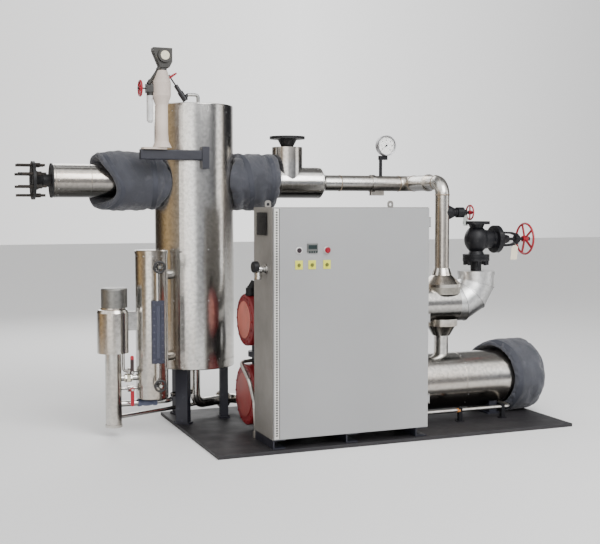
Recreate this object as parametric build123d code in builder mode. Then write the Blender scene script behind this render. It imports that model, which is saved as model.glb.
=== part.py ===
from build123d import *
from math import atan2, cos, radians, sin, sqrt
import os

os.makedirs("parts", exist_ok=True)

# Skid-mounted industrial boiler: a vertical vessel on three legs, two level heaters one above
# the other, clad pipework with a globe valve, level instruments and a control cabinet, all on
# one steel plate. Millimetres, +Z up. The origin is the centre of the plate's underside,
# +X runs along the plate to the right of somebody facing the cabinet, +Y runs to the back.

# Base plate
plate_length = 2850.0
plate_width = 1600.0
plate_thickness = 25.0

# Vessel
vessel_x = -1221.0
vessel_y = 480.0
vessel_radius = 306.0
vessel_wall = 56.0
vessel_bottom_z = 450.0
vessel_top_z = 2475.0
end_thickness = 12.0
end_edge = 8.0
band_heights = (505.0, 956.0, 1346.0)
band_width = 14.0
band_rise = 2.5
leg_circle_radius = 225.0
leg_start_angle = -10.7
leg_width = 100.0
leg_depth = 60.0
leg_wall = 9.0
leg_foot_thickness = 12.0
leg_foot_margin = 15.0

# Pipework off the vessel
header_z = 1888.0
jacket_edge = 12.0
left_jacket_radius = 209.0
left_jacket_end_x = -1975.0
right_jacket_radius = 213.0
right_jacket_end_x = -560.0
cladding_radius = 125.0
outlet_cladding_end_x = -2310.0
outlet_face_x = -2462.0
tee_end_x = -165.0
tee_cone = 42.0
branch_x = -441.0
branch_top_z = 2172.0
relief_face_z = 2262.0
header_radius = 64.5
riser_radius = 57.0
riser_x = 661.0
elbow_radius = 100.0
reducer_y = 120.0

# DN150 flanges with eight M20 bolts
flange_radius = 142.5
flange_thickness = 24.0
flange_hub_radius = 80.0
flange_neck_radius = 48.0
flange_hub_length = 62.0
flange_bore = 39.0
flange_face_radius = 102.0
flange_face_rise = 3.0
bolt_circle_radius = 120.0
bolt_count = 8
bolt_hole_radius = 11.0
stud_hole_radius = 11.5
stud_radius = 10.0
stud_length = 202.0
nut_width = 30.0
nut_stack = 38.0
stud_front = 106.0
first_hole_angle = 22.5

# Heaters
heater_y = -100.0
lower_z = 296.0
lower_radius = 225.0
upper_z = 855.0
upper_radius = 185.0
channel_x = -945.0
cover_thickness = 60.0
upper_cover_radius = 194.0
lower_cover_radius = 228.0
upper_shell_end_x = 440.0
lower_shell_end_x = 1300.0
end_jacket_radius = 277.0
end_jacket_z = 312.0
end_jacket_end_x = 1522.0
end_jacket_front_x = 1252.0
end_jacket_back_x = 1040.0

# Clad pipe above the heaters and the mitred elbow
clad_pipe_z = 922.0
clad_pipe_radius = 145.0
clad_pipe_end_x = 768.0
seam_angles = (15.0, 45.0, 75.0)
throat_radius = 65.0
elbow_top_z = 1146.0
top_plate_thickness = 30.0

# Main valve
valve_x = 978.0
valve_axis_z = 1430.0
valve_flange_radius = 108.0
valve_bore = 40.0
valve_bottom_z = 1284.0
valve_flange = 25.0
valve_top_z = 1577.0
valve_bolt_circle = 90.0
valve_hole_radius = 9.0
bonnet_x = 1158.0
bonnet_radius = 112.0
bonnet_flange = 20.0
wheel_x = 1442.0
wheel_radius = 125.0
stem_radius = 12.0
running_clearance = 0.05

# Control cabinet
cabinet_left_x = -1025.0
cabinet_width = 1200.0
cabinet_front_y = -780.0
cabinet_depth = 400.0
cabinet_bottom_z = 90.0
cabinet_height = 1600.0
panel = 15.0
door_thickness = 18.0
door_gap = 2.0
door_margin = 4.0
hinge_x = 183.0
hinge_y = -768.0
hinge_heights = (300.0, 890.0, 1583.0)
hinge_pin_radius = 3.5
grille_y = -532.0
grille_z = 1568.0
louvre_pitch = 18.0

# Level column, probe chamber and transmitter stand
column_x = -1638.0
column_y = 180.0
column_radius = 120.0
column_bottom_z = 265.0
column_top_z = 1374.0
stub_heights = (1180.0, 560.0)
gauge_x = -1632.0
gauge_y = 18.0
cock_heights = (1257.0, 390.0)
probe_x = -1930.0
cap_x = -1918.0
probe_y = 180.0
stand_y = 140.0

cabinet_right_x = cabinet_left_x + cabinet_width
cabinet_back_y = cabinet_front_y + cabinet_depth
cabinet_top_z = cabinet_bottom_z + cabinet_height
cabinet_mid_x = (cabinet_left_x + cabinet_right_x) / 2
cabinet_mid_z = cabinet_bottom_z + cabinet_height / 2
shell_front_y = cabinet_front_y + door_thickness + door_gap


def along_x(y, z):
    """Sketch plane through a level axis: sketch x runs along X, sketch y is the radius."""
    return Plane(origin=(0, y, z), x_dir=(1, 0, 0), z_dir=(0, -1, 0))


def upright(x, y):
    """Sketch plane through an upright axis: sketch x is the radius, sketch y is the height."""
    return Plane(origin=(x, y, 0), x_dir=(1, 0, 0), z_dir=(0, -1, 0))


def save(builder, name):
    """Label a finished piece and write it."""
    builder.part.label = name
    export_step(builder.part, f"parts/{name}.step")


def handwheel(plane, rim, tube, hub, hub_length, bore, spokes, spoke_width):
    """Wheel with a round rim, flat spokes and a bored hub, its axis along the plane's normal."""
    across = Plane(origin=plane.origin, x_dir=plane.x_dir, z_dir=plane.y_dir)
    with BuildPart() as wheel:
        with BuildSketch(across):
            with Locations((rim, 0)):
                Circle(tube)
        revolve(axis=Axis(plane.origin, plane.z_dir))
        with BuildSketch(plane):
            Circle(hub)
        extrude(amount=hub_length / 2, both=True)
        with BuildSketch(plane):
            with PolarLocations(rim / 2, spokes):
                Rectangle(rim, spoke_width)
        extrude(amount=tube * 0.55, both=True)
        with BuildSketch(plane):
            Circle(bore)
        extrude(amount=hub_length, both=True, mode=Mode.SUBTRACT)
    return wheel


# Base plate, one flat deck with its edges eased
with BuildPart() as base_plate:
    with BuildSketch():
        Rectangle(plate_length, plate_width)
    extrude(amount=plate_thickness)
    chamfer(base_plate.faces().sort_by(Axis.Z)[-1].edges(), 2)
save(base_plate, "base_plate")

# Vessel shell, the clad wall with its swaged bands, open at both ends
shell_low = vessel_bottom_z + end_thickness
shell_high = vessel_top_z - end_thickness
with BuildPart() as vessel_shell:
    with BuildSketch(Plane.XY.offset(shell_low)):
        with Locations((vessel_x, vessel_y)):
            Circle(vessel_radius)
            Circle(vessel_radius - vessel_wall, mode=Mode.SUBTRACT)
    extrude(amount=shell_high - shell_low)
    for band_z in band_heights:
        with BuildSketch(Plane.XY.offset(band_z)):
            with Locations((vessel_x, vessel_y)):
                Circle(vessel_radius + band_rise)
                Circle(vessel_radius - 1, mode=Mode.SUBTRACT)
        extrude(amount=band_width)
save(vessel_shell, "vessel_shell")

# Vessel top and bottom, flat clad ends with a rolled edge
with BuildPart() as vessel_top:
    with BuildSketch(Plane.XY.offset(shell_high)):
        with Locations((vessel_x, vessel_y)):
            Circle(vessel_radius)
    extrude(amount=end_thickness)
    fillet(vessel_top.faces().sort_by(Axis.Z)[-1].edges(), end_edge)
save(vessel_top, "vessel_top")

with BuildPart() as vessel_bottom:
    with BuildSketch(Plane.XY.offset(vessel_bottom_z)):
        with Locations((vessel_x, vessel_y)):
            Circle(vessel_radius)
    extrude(amount=end_thickness)
    fillet(vessel_bottom.faces().sort_by(Axis.Z)[0].edges(), end_edge)
save(vessel_bottom, "vessel_bottom")

# Three legs of folded channel, open towards the vessel's axis, each on a foot plate
with BuildPart() as vessel_legs:
    for leg in range(3):
        angle = leg_start_angle + 120 * leg
        leg_x = vessel_x + leg_circle_radius * cos(radians(angle))
        leg_y = vessel_y + leg_circle_radius * sin(radians(angle))
        leg_plane = Plane(
            origin=(leg_x, leg_y, plate_thickness),
            x_dir=(cos(radians(angle)), sin(radians(angle)), 0),
            z_dir=(0, 0, 1),
        )
        with BuildSketch(leg_plane):
            RectangleRounded(leg_depth + 24, leg_width + 2 * leg_foot_margin, 6)
        extrude(amount=leg_foot_thickness)
        with BuildSketch(leg_plane.offset(leg_foot_thickness)):
            Rectangle(leg_depth, leg_width)
            with Locations((-leg_wall, 0)):
                Rectangle(leg_depth, leg_width - 2 * leg_wall, mode=Mode.SUBTRACT)
        extrude(amount=vessel_bottom_z - plate_thickness - leg_foot_thickness)
save(vessel_legs, "vessel_legs")

# Insulated drain pipe under the vessel: down, round a bend behind the right leg to a flange
# pair, then forward into the back of the lower heater
drain_radius = 39.0
drain_z = 137.0
drain_bend = 80.0
drain_turn = 23.0
flange_run = 262.0
pair_thickness = 20.0
pair_gap = 4.0
pair_radius = 70.0
pair_bolt_radius = 7.0
pair_bolt_reach = 12.0
return_run = 416.0
turn_x = cos(radians(drain_turn))
turn_y = sin(radians(drain_turn))
return_x = vessel_x + return_run * turn_x
return_y = vessel_y + return_run * turn_y
pair_plane = Plane(
    origin=(vessel_x + flange_run * turn_x, vessel_y + flange_run * turn_y, drain_z),
    x_dir=(0, 0, 1),
    z_dir=(turn_x, turn_y, 0),
)
with BuildPart() as vessel_drain_pipe:
    with BuildLine():
        FilletPolyline(
            (vessel_x, vessel_y, vessel_bottom_z),
            (vessel_x, vessel_y, drain_z),
            (return_x, return_y, drain_z),
            (return_x, heater_y + 40, drain_z),
            radius=drain_bend,
        )
    with BuildSketch(Plane.XY.offset(vessel_bottom_z)):
        with Locations((vessel_x, vessel_y)):
            Circle(drain_radius)
    sweep()
    for flange_start in (0, pair_thickness + pair_gap):
        with BuildSketch(pair_plane.offset(flange_start)):
            Circle(pair_radius)
        extrude(amount=pair_thickness)
    with BuildSketch(pair_plane.offset(pair_thickness)):
        Circle(pair_radius - 18)
    extrude(amount=pair_gap)
    with BuildSketch(pair_plane.offset(-pair_bolt_reach)):
        with PolarLocations(pair_radius - 2 * pair_bolt_radius, 4, start_angle=45):
            Circle(pair_bolt_radius)
    extrude(amount=2 * (pair_thickness + pair_bolt_reach) + pair_gap)
    with BuildSketch(Plane.YZ.offset(return_x - 200)):
        with Locations((heater_y, lower_z)):
            Circle(lower_radius)
    extrude(amount=400, mode=Mode.SUBTRACT)
save(vessel_drain_pipe, "vessel_drain_pipe")

# Left outlet: the padded jacket against the vessel, the clad pipe, and the flange on its neck
with BuildPart() as outlet_jacket:
    with BuildSketch(Plane.YZ.offset(left_jacket_end_x)):
        with Locations((vessel_y, header_z)):
            Circle(left_jacket_radius)
    extrude(amount=vessel_x - left_jacket_end_x)
    fillet(outlet_jacket.faces().sort_by(Axis.X)[0].edges(), jacket_edge)
    with BuildSketch(Plane.XY.offset(header_z - 300)):
        with Locations((vessel_x, vessel_y)):
            Circle(vessel_radius)
    extrude(amount=600, mode=Mode.SUBTRACT)
save(outlet_jacket, "outlet_jacket")

with BuildPart() as outlet_cladding:
    with BuildSketch(Plane.YZ.offset(outlet_cladding_end_x)):
        with Locations((vessel_y, header_z)):
            Circle(cladding_radius)
    extrude(amount=left_jacket_end_x - outlet_cladding_end_x)
save(outlet_cladding, "outlet_cladding")


def flange_profile(face, away, seat):
    """Half section of a weld-neck flange: face and seat are places along its axis."""
    back = face + away * flange_thickness
    raised = face + away * flange_face_rise
    hub_end = back + away * flange_hub_length
    return [
        (flange_bore, face),
        (flange_face_radius, face),
        (flange_face_radius, raised),
        (flange_radius, raised),
        (flange_radius, back),
        (flange_hub_radius, back),
        (flange_neck_radius, hub_end),
        (flange_neck_radius, seat),
        (flange_bore, seat),
    ]


outlet_axis = Axis((0, vessel_y, header_z), (1, 0, 0))
end_disc_x = outlet_cladding_end_x - 12
with BuildPart() as outlet_flange:
    with BuildSketch(along_x(vessel_y, header_z)):
        with BuildLine():
            outline = [(x, r) for r, x in flange_profile(outlet_face_x, 1, outlet_cladding_end_x)]
            Polyline(*outline, close=True)
        make_face()
        with BuildLine():
            Polyline(
                (end_disc_x, flange_bore),
                (end_disc_x, cladding_radius + 4),
                (outlet_cladding_end_x, cladding_radius + 4),
                (outlet_cladding_end_x, flange_bore),
                close=True,
            )
        make_face()
    revolve(axis=outlet_axis)
    with BuildSketch(Plane.YZ.offset(outlet_face_x - 1)):
        with Locations((vessel_y, header_z)):
            with PolarLocations(bolt_circle_radius, bolt_count, start_angle=first_hole_angle):
                Circle(stud_hole_radius)
    extrude(amount=flange_thickness + 2, mode=Mode.SUBTRACT)
save(outlet_flange, "outlet_flange")

# Eight long studs through the outlet flange, each with two nuts behind it
stud_start_x = outlet_face_x - stud_front
nut_seat_x = outlet_face_x + flange_thickness
with BuildPart() as outlet_studs:
    with BuildSketch(Plane.YZ.offset(stud_start_x)):
        with Locations((vessel_y, header_z)):
            with PolarLocations(bolt_circle_radius, bolt_count, start_angle=first_hole_angle):
                Circle(stud_radius)
    extrude(amount=stud_length)
    with BuildSketch(Plane.YZ.offset(nut_seat_x)):
        with Locations((vessel_y, header_z)):
            with PolarLocations(bolt_circle_radius, bolt_count, start_angle=first_hole_angle):
                RegularPolygon(nut_width / 2, 6, major_radius=False)
    extrude(amount=nut_stack)
save(outlet_studs, "outlet_studs")

# Right of the vessel: the padded jacket, then the clad tee with its upright branch
with BuildPart() as crossover_jacket:
    with BuildSketch(Plane.YZ.offset(vessel_x)):
        with Locations((vessel_y, header_z)):
            Circle(right_jacket_radius)
    extrude(amount=right_jacket_end_x - vessel_x)
    fillet(crossover_jacket.faces().sort_by(Axis.X)[-1].edges(), jacket_edge)
    with BuildSketch(Plane.XY.offset(header_z - 300)):
        with Locations((vessel_x, vessel_y)):
            Circle(vessel_radius)
    extrude(amount=600, mode=Mode.SUBTRACT)
save(crossover_jacket, "crossover_jacket")

with BuildPart() as tee_cladding:
    with BuildSketch(along_x(vessel_y, header_z)):
        with BuildLine():
            Polyline(
                (right_jacket_end_x, 0),
                (right_jacket_end_x, cladding_radius),
                (tee_end_x, cladding_radius),
                (tee_end_x + tee_cone, header_radius + 6),
                (tee_end_x + tee_cone, 0),
                close=True,
            )
        make_face()
    revolve(axis=outlet_axis)
    with BuildSketch(Plane.XY.offset(header_z)):
        with Locations((branch_x, vessel_y)):
            Circle(cladding_radius - 3)
    extrude(amount=branch_top_z - header_z)
    with BuildSketch(Plane.YZ.offset(right_jacket_end_x)):
        with Locations((vessel_y, header_z)):
            Circle(right_jacket_radius + 100)
    extrude(amount=-40, mode=Mode.SUBTRACT)
save(tee_cladding, "tee_cladding")

with BuildPart() as relief_flange:
    with BuildSketch(upright(branch_x, vessel_y)):
        with BuildLine():
            Polyline(*flange_profile(relief_face_z, -1, branch_top_z), close=True)
        make_face()
    revolve(axis=Axis((branch_x, vessel_y, 0), (0, 0, 1)))
    with BuildSketch(Plane.XY.offset(relief_face_z + 1)):
        with Locations((branch_x, vessel_y)):
            with PolarLocations(bolt_circle_radius, bolt_count, start_angle=first_hole_angle):
                Circle(bolt_hole_radius)
    extrude(amount=-flange_thickness - 2, mode=Mode.SUBTRACT)
save(relief_flange, "relief_flange")

# Header pipe from the tee, round a bend and forward to a joint ring, with its clamp
clamp_x = 318.0
with BuildPart() as header_pipe:
    with BuildLine():
        FilletPolyline(
            (tee_end_x + tee_cone, vessel_y, header_z),
            (riser_x, vessel_y, header_z),
            (riser_x, reducer_y, header_z),
            radius=elbow_radius,
        )
    with BuildSketch(Plane.YZ.offset(tee_end_x + tee_cone)):
        with Locations((vessel_y, header_z)):
            Circle(header_radius)
    sweep()
    with BuildSketch(Plane.YZ.offset(clamp_x - 16)):
        with Locations((vessel_y, header_z)):
            Circle(header_radius + 8)
    extrude(amount=32)
    with BuildSketch(Plane.XY.offset(header_z - header_radius - 36)):
        with Locations((clamp_x + 45, vessel_y)):
            RectangleRounded(120, 44, 6)
    extrude(amount=44)
    with BuildSketch(Plane.XZ.offset(-reducer_y)):
        with Locations((riser_x, header_z)):
            Circle(header_radius + 6)
    extrude(amount=-26)
save(header_pipe, "header_pipe")

# Riser: forward from the joint ring, round a bend and down to the hood
riser_foot_z = 1205.0
with BuildPart() as riser_pipe:
    with BuildLine():
        FilletPolyline(
            (riser_x, reducer_y, header_z),
            (riser_x, heater_y, header_z),
            (riser_x, heater_y, riser_foot_z),
            radius=elbow_radius,
        )
    with BuildSketch(Plane.XZ.offset(-reducer_y)):
        with Locations((riser_x, header_z)):
            Circle(riser_radius)
    sweep()
save(riser_pipe, "riser_pipe")

# Siphon pipe with its cock, and the dial gauge facing the front
siphon_x = 398.0
siphon_top_z = 2108.0
dial_x = 440.0
dial_z = 2204.0
dial_radius = 84.0
with BuildPart() as gauge_siphon:
    with BuildSketch(Plane.XY.offset(header_z + header_radius - 8)):
        with Locations((siphon_x, vessel_y)):
            Circle(14)
    extrude(amount=siphon_top_z - header_z - header_radius + 8)
    with BuildSketch(Plane.YZ.offset(siphon_x - 60)):
        with Locations((vessel_y, header_z)):
            Circle(header_radius)
    extrude(amount=120, mode=Mode.SUBTRACT)
    with BuildSketch(Plane.XY.offset(siphon_top_z - 22)):
        with Locations(((siphon_x + dial_x) / 2, vessel_y)):
            SlotOverall(84, 38)
    extrude(amount=34)
save(gauge_siphon, "gauge_siphon")

gauge_front_y = vessel_y - 30
with BuildPart() as pressure_gauge:
    with BuildSketch(Plane.XZ.offset(-gauge_front_y)):
        with Locations((dial_x, dial_z)):
            Circle(dial_radius)
    extrude(amount=-52)
    fillet(pressure_gauge.faces().sort_by(Axis.Y)[-1].edges(), 10)
    with BuildSketch(Plane.XZ.offset(-gauge_front_y)):
        with Locations((dial_x, dial_z)):
            Circle(dial_radius - 9)
    extrude(amount=-8, mode=Mode.SUBTRACT)
    with BuildSketch(Plane.XY.offset(siphon_top_z + 12)):
        with Locations((dial_x, vessel_y)):
            Rectangle(22, 22)
    extrude(amount=14)
save(pressure_gauge, "pressure_gauge")

# Heater shells with their channel flanges
with BuildPart() as upper_heater_shell:
    with BuildSketch(Plane.YZ.offset(channel_x)):
        with Locations((heater_y, upper_z)):
            Circle(upper_cover_radius)
    extrude(amount=40)
    with BuildSketch(Plane.YZ.offset(channel_x + 40)):
        with Locations((heater_y, upper_z)):
            Circle(upper_radius)
    extrude(amount=upper_shell_end_x - channel_x - 40)
    fillet(upper_heater_shell.faces().sort_by(Axis.X)[-1].edges(), 14)
save(upper_heater_shell, "upper_heater_shell")

with BuildPart() as lower_heater_shell:
    with BuildSketch(Plane.YZ.offset(channel_x)):
        with Locations((heater_y, lower_z)):
            Circle(lower_cover_radius)
    extrude(amount=40)
    with BuildSketch(Plane.YZ.offset(channel_x + 40)):
        with Locations((heater_y, lower_z)):
            Circle(lower_radius)
    extrude(amount=lower_shell_end_x - channel_x - 40)
save(lower_heater_shell, "lower_heater_shell")


def channel_cover(z, radius):
    """Red end cover: a thick disc with a rounded edge and a shallow raised centre."""
    with BuildPart() as cover:
        with BuildSketch(Plane.YZ.offset(channel_x)):
            with Locations((heater_y, z)):
                Circle(radius)
        extrude(amount=-cover_thickness)
        fillet(cover.faces().sort_by(Axis.X)[0].edges(), 16)
        with BuildSketch(Plane.YZ.offset(channel_x - cover_thickness)):
            with Locations((heater_y, z)):
                Circle(radius * 0.72)
        extrude(amount=-6, taper=20)
    return cover


save(channel_cover(upper_z, upper_cover_radius), "upper_heater_cover")
save(channel_cover(lower_z, lower_cover_radius), "lower_heater_cover")

# Short pipe between the two channels, with a flange pair halfway
channel_link_x = -903.0
link_radius = 42.0
link_flange_z = 578.0
link_flange_radius = 70.0
with BuildPart() as channel_link:
    with BuildSketch(Plane.XY.offset(lower_z)):
        with Locations((channel_link_x, heater_y)):
            Circle(link_radius)
    extrude(amount=upper_z - lower_z)
    with BuildSketch(Plane.XY.offset(link_flange_z)):
        with Locations((channel_link_x, heater_y)):
            Circle(link_flange_radius)
    extrude(amount=40)
    add(lower_heater_shell.part, mode=Mode.SUBTRACT)
    add(upper_heater_shell.part, mode=Mode.SUBTRACT)
save(channel_link, "channel_link")

# Saddles: two under each shell, a web plate cut round the shell with a foot
saddle_width = 300.0
saddle_low_x = (-640.0, 1060.0)
saddle_high_x = (-640.0, 250.0)
saddle_web_top = 150.0
with BuildPart() as heater_saddles:
    for saddle_x in saddle_low_x:
        with BuildSketch(Plane.XY.offset(plate_thickness)):
            with Locations((saddle_x, heater_y)):
                Rectangle(110, saddle_width + 20)
        extrude(amount=leg_foot_thickness)
        with BuildSketch(Plane.YZ.offset(saddle_x - 35)):
            with Locations((heater_y, (saddle_web_top + plate_thickness) / 2)):
                Rectangle(saddle_width, saddle_web_top - plate_thickness)
            with Locations((heater_y, lower_z)):
                Circle(lower_radius, mode=Mode.SUBTRACT)
        extrude(amount=70)
    for saddle_x in saddle_high_x:
        with BuildSketch(Plane.YZ.offset(saddle_x - 40)):
            with Locations((heater_y, 600)):
                Rectangle(220, 220)
            with Locations((heater_y, lower_z)):
                Circle(lower_radius, mode=Mode.SUBTRACT)
            with Locations((heater_y, upper_z)):
                Circle(upper_radius, mode=Mode.SUBTRACT)
        extrude(amount=80)
save(heater_saddles, "heater_saddles")

# Padded jacket over the lower heater's right end, its mouth slanted from front to back
mouth_slant = Plane(
    origin=(end_jacket_front_x, heater_y - end_jacket_radius, 0),
    x_dir=(0, 0, 1),
    z_dir=(2 * end_jacket_radius, end_jacket_front_x - end_jacket_back_x, 0),
)
with BuildPart() as heater_end_jacket:
    with BuildSketch(Plane.YZ.offset(end_jacket_back_x)):
        with Locations((heater_y, end_jacket_z)):
            Circle(end_jacket_radius)
    extrude(amount=end_jacket_end_x - end_jacket_back_x)
    fillet(heater_end_jacket.faces().sort_by(Axis.X)[-1].edges(), 80)
    split(bisect_by=mouth_slant, keep=Keep.TOP)
    with BuildSketch(Plane.YZ.offset(end_jacket_back_x - 50)):
        with Locations((heater_y, lower_z)):
            Circle(lower_radius)
    extrude(amount=lower_shell_end_x - end_jacket_back_x + 50, mode=Mode.SUBTRACT)
    add(heater_saddles.part, mode=Mode.SUBTRACT)
save(heater_end_jacket, "heater_end_jacket")

# Clad pipe over the heaters, with the hood round the riser and the cone below it
riser_axis = Axis((riser_x, heater_y, 0), (0, 0, 1))
cone_foot_z = 665.0
with BuildPart() as upper_pipe_cladding:
    with BuildSketch(Plane.YZ.offset(upper_shell_end_x)):
        with Locations((heater_y, clad_pipe_z)):
            Circle(clad_pipe_radius)
    extrude(amount=clad_pipe_end_x - upper_shell_end_x)
    with BuildSketch(upright(riser_x, heater_y)):
        with BuildLine():
            Polyline(
                (0, riser_foot_z),
                (riser_radius + 6, riser_foot_z),
                (82, 1148),
                (154, 1080),
                (150, 1052),
                (0, 1052),
                close=True,
            )
        make_face()
        with BuildLine():
            Polyline(
                (0, 800),
                (130, 800),
                (128, 744),
                (114, 742),
                (70, cone_foot_z),
                (0, cone_foot_z),
                close=True,
            )
        make_face()
    revolve(axis=riser_axis)
save(upper_pipe_cladding, "upper_pipe_cladding")

with BuildPart() as link_pipe:
    with BuildSketch(Plane.XY.offset(lower_z)):
        with Locations((riser_x, heater_y)):
            Circle(riser_radius)
    extrude(amount=cone_foot_z - lower_z)
    with BuildSketch(Plane.YZ.offset(riser_x - 90)):
        with Locations((heater_y, lower_z)):
            Circle(lower_radius)
    extrude(amount=180, mode=Mode.SUBTRACT)
save(link_pipe, "link_pipe")

# Mitred elbow: four straight gores of cladding, each lofted between two seam ellipses whose
# planes meet on the bend's centre line, with a raised lap at every seam and a flat top plate
bend_radius = clad_pipe_radius + throat_radius
bend_x = clad_pipe_end_x
bend_z = clad_pipe_z + bend_radius
seam_half_angle = radians(seam_angles[0])
seam_stretch = 1 / cos(seam_half_angle)
lap_rise = 3.0
lap_half_width = 3.0


def bend_section(angle, stretch):
    """Plane across the bend at an angle from its start, centred on the pipe's axis."""
    turn = radians(angle)
    reach = bend_radius * stretch
    return Plane(
        origin=(bend_x + reach * sin(turn), heater_y, bend_z - reach * cos(turn)),
        x_dir=(0, 1, 0),
        z_dir=(cos(turn), 0, sin(turn)),
    )


sections = [(0.0, 1.0)] + [(angle, seam_stretch) for angle in seam_angles] + [(90.0, 1.0)]
with BuildPart() as mitred_elbow:
    for start, end in zip(sections, sections[1:]):
        for angle, stretch in (start, end):
            with BuildSketch(bend_section(angle, stretch)):
                Ellipse(clad_pipe_radius, clad_pipe_radius * stretch)
        loft(ruled=True)
    for angle in seam_angles:
        with BuildSketch(bend_section(angle, seam_stretch)):
            Ellipse(clad_pipe_radius + lap_rise, (clad_pipe_radius + lap_rise) * seam_stretch)
        extrude(amount=lap_half_width, both=True)
    elbow_x = bend_x + bend_radius
    with BuildSketch(Plane.XY.offset(bend_z)):
        with Locations((elbow_x, heater_y)):
            Circle(clad_pipe_radius)
    extrude(amount=elbow_top_z - bend_z)
    with BuildSketch(Plane.XY.offset(elbow_top_z)):
        with Locations((elbow_x, heater_y)):
            Circle(clad_pipe_radius + 6)
    extrude(amount=top_plate_thickness)
    add(upper_pipe_cladding.part, mode=Mode.SUBTRACT)
save(mitred_elbow, "mitred_elbow")

# Main valve: neck and lower companion flange
plate_top_z = elbow_top_z + top_plate_thickness
gasket = 3.0
with BuildPart() as valve_neck:
    with BuildSketch(Plane.XY.offset(plate_top_z)):
        with Locations((valve_x, heater_y)):
            Circle(44)
    extrude(amount=valve_bottom_z - gasket - plate_top_z)
    with BuildSketch(Plane.XY.offset(valve_bottom_z - gasket - valve_flange)):
        with Locations((valve_x, heater_y)):
            Circle(valve_flange_radius)
    extrude(amount=valve_flange)
    with BuildSketch(Plane.XY.offset(valve_bottom_z - gasket)):
        with Locations((valve_x, heater_y)):
            Circle(78)
    extrude(amount=gasket)
    with BuildSketch(Plane.XY.offset(valve_bottom_z - 62)):
        with Locations((valve_x, heater_y)):
            with PolarLocations(valve_bolt_circle, bolt_count, start_angle=first_hole_angle):
                Circle(8)
                RegularPolygon(12, 6, major_radius=False)
    extrude(amount=62 - gasket)
save(valve_neck, "valve_neck")

# Main valve body: a globe between two flanges, with a neck for the bonnet
valve_axis = Axis((valve_x, heater_y, 0), (0, 0, 1))
with BuildPart() as main_valve_body:
    with BuildSketch(upright(valve_x, heater_y)):
        with BuildLine():
            Polyline(
                (0, valve_bottom_z),
                (valve_flange_radius, valve_bottom_z),
                (valve_flange_radius, valve_bottom_z + valve_flange),
                (66, valve_bottom_z + valve_flange),
                (54, valve_bottom_z + 52),
            )
            ThreePointArc(
                (54, valve_bottom_z + 52), (98, valve_axis_z), (54, valve_top_z - 52)
            )
            Polyline(
                (54, valve_top_z - 52),
                (66, valve_top_z - valve_flange),
                (valve_flange_radius, valve_top_z - valve_flange),
                (valve_flange_radius, valve_top_z),
                (0, valve_top_z),
                (0, valve_bottom_z),
            )
        make_face()
    revolve(axis=valve_axis)
    with BuildSketch(Plane.YZ.offset(valve_x)):
        with Locations((heater_y, valve_axis_z)):
            Circle(86)
    extrude(amount=bonnet_x - 40 - valve_x, taper=6)
    with BuildSketch(Plane.YZ.offset(bonnet_x - 44)):
        with Locations((heater_y, valve_axis_z)):
            Circle(76)
    extrude(amount=44)
    with BuildSketch(Plane.YZ.offset(bonnet_x - bonnet_flange)):
        with Locations((heater_y, valve_axis_z)):
            Circle(bonnet_radius)
    extrude(amount=bonnet_flange)
    with BuildSketch(Plane.XY.offset(valve_top_z)):
        with Locations((valve_x, heater_y)):
            Circle(valve_bore)
    extrude(amount=-70, mode=Mode.SUBTRACT)
    with BuildSketch(Plane.XY.offset(valve_top_z + 1)):
        with Locations((valve_x, heater_y)):
            with PolarLocations(valve_bolt_circle, bolt_count, start_angle=first_hole_angle):
                Circle(valve_hole_radius)
    extrude(amount=-28, mode=Mode.SUBTRACT)
save(main_valve_body, "main_valve_body")

# Bonnet: flange with cap screws, tapered bonnet, two yoke arms, bridge and the stem
with BuildPart() as main_valve_bonnet:
    with BuildSketch(along_x(heater_y, valve_axis_z)):
        with BuildLine():
            Polyline(
                (bonnet_x, 0),
                (bonnet_x, bonnet_radius),
                (bonnet_x + bonnet_flange, bonnet_radius),
                (bonnet_x + bonnet_flange, 74),
                (bonnet_x + 36, 66),
                (bonnet_x + 88, 38),
                (bonnet_x + 120, 30),
                (bonnet_x + 120, 0),
                close=True,
            )
        make_face()
    revolve(axis=Axis((0, heater_y, valve_axis_z), (1, 0, 0)))
    with BuildSketch(Plane.XZ.offset(-heater_y)):
        for side in (1, -1):
            with BuildLine():
                Polyline(
                    (bonnet_x + 60, valve_axis_z + side * 44),
                    (bonnet_x + 60, valve_axis_z + side * 62),
                    (bonnet_x + 150, valve_axis_z + side * 58),
                    (bonnet_x + 214, valve_axis_z + side * 40),
                    (bonnet_x + 214, valve_axis_z + side * 16),
                    (bonnet_x + 150, valve_axis_z + side * 40),
                    close=True,
                )
            make_face()
    extrude(amount=16, both=True)
    with BuildSketch(Plane.YZ.offset(bonnet_x + 186)):
        with Locations((heater_y, valve_axis_z)):
            Circle(32)
    extrude(amount=36)
    with BuildSketch(Plane.YZ.offset(bonnet_x + 100)):
        with Locations((heater_y, valve_axis_z)):
            Circle(stem_radius)
    extrude(amount=wheel_x + 34 - bonnet_x - 100)
    with BuildSketch(Plane.YZ.offset(wheel_x + 26)):
        with Locations((heater_y, valve_axis_z)):
            RegularPolygon(17, 6, major_radius=False)
    extrude(amount=16)
    with BuildSketch(Plane.YZ.offset(bonnet_x + bonnet_flange)):
        with Locations((heater_y, valve_axis_z)):
            with PolarLocations(94, bolt_count, start_angle=first_hole_angle):
                Circle(9)
    extrude(amount=14)
save(main_valve_bonnet, "main_valve_bonnet")

main_wheel_plane = Plane(
    origin=(wheel_x, heater_y, valve_axis_z), x_dir=(0, 1, 0), z_dir=(1, 0, 0)
)
save(
    handwheel(main_wheel_plane, wheel_radius, 9, 24, 46, stem_radius + running_clearance, 5, 16),
    "main_valve_handwheel",
)

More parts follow.
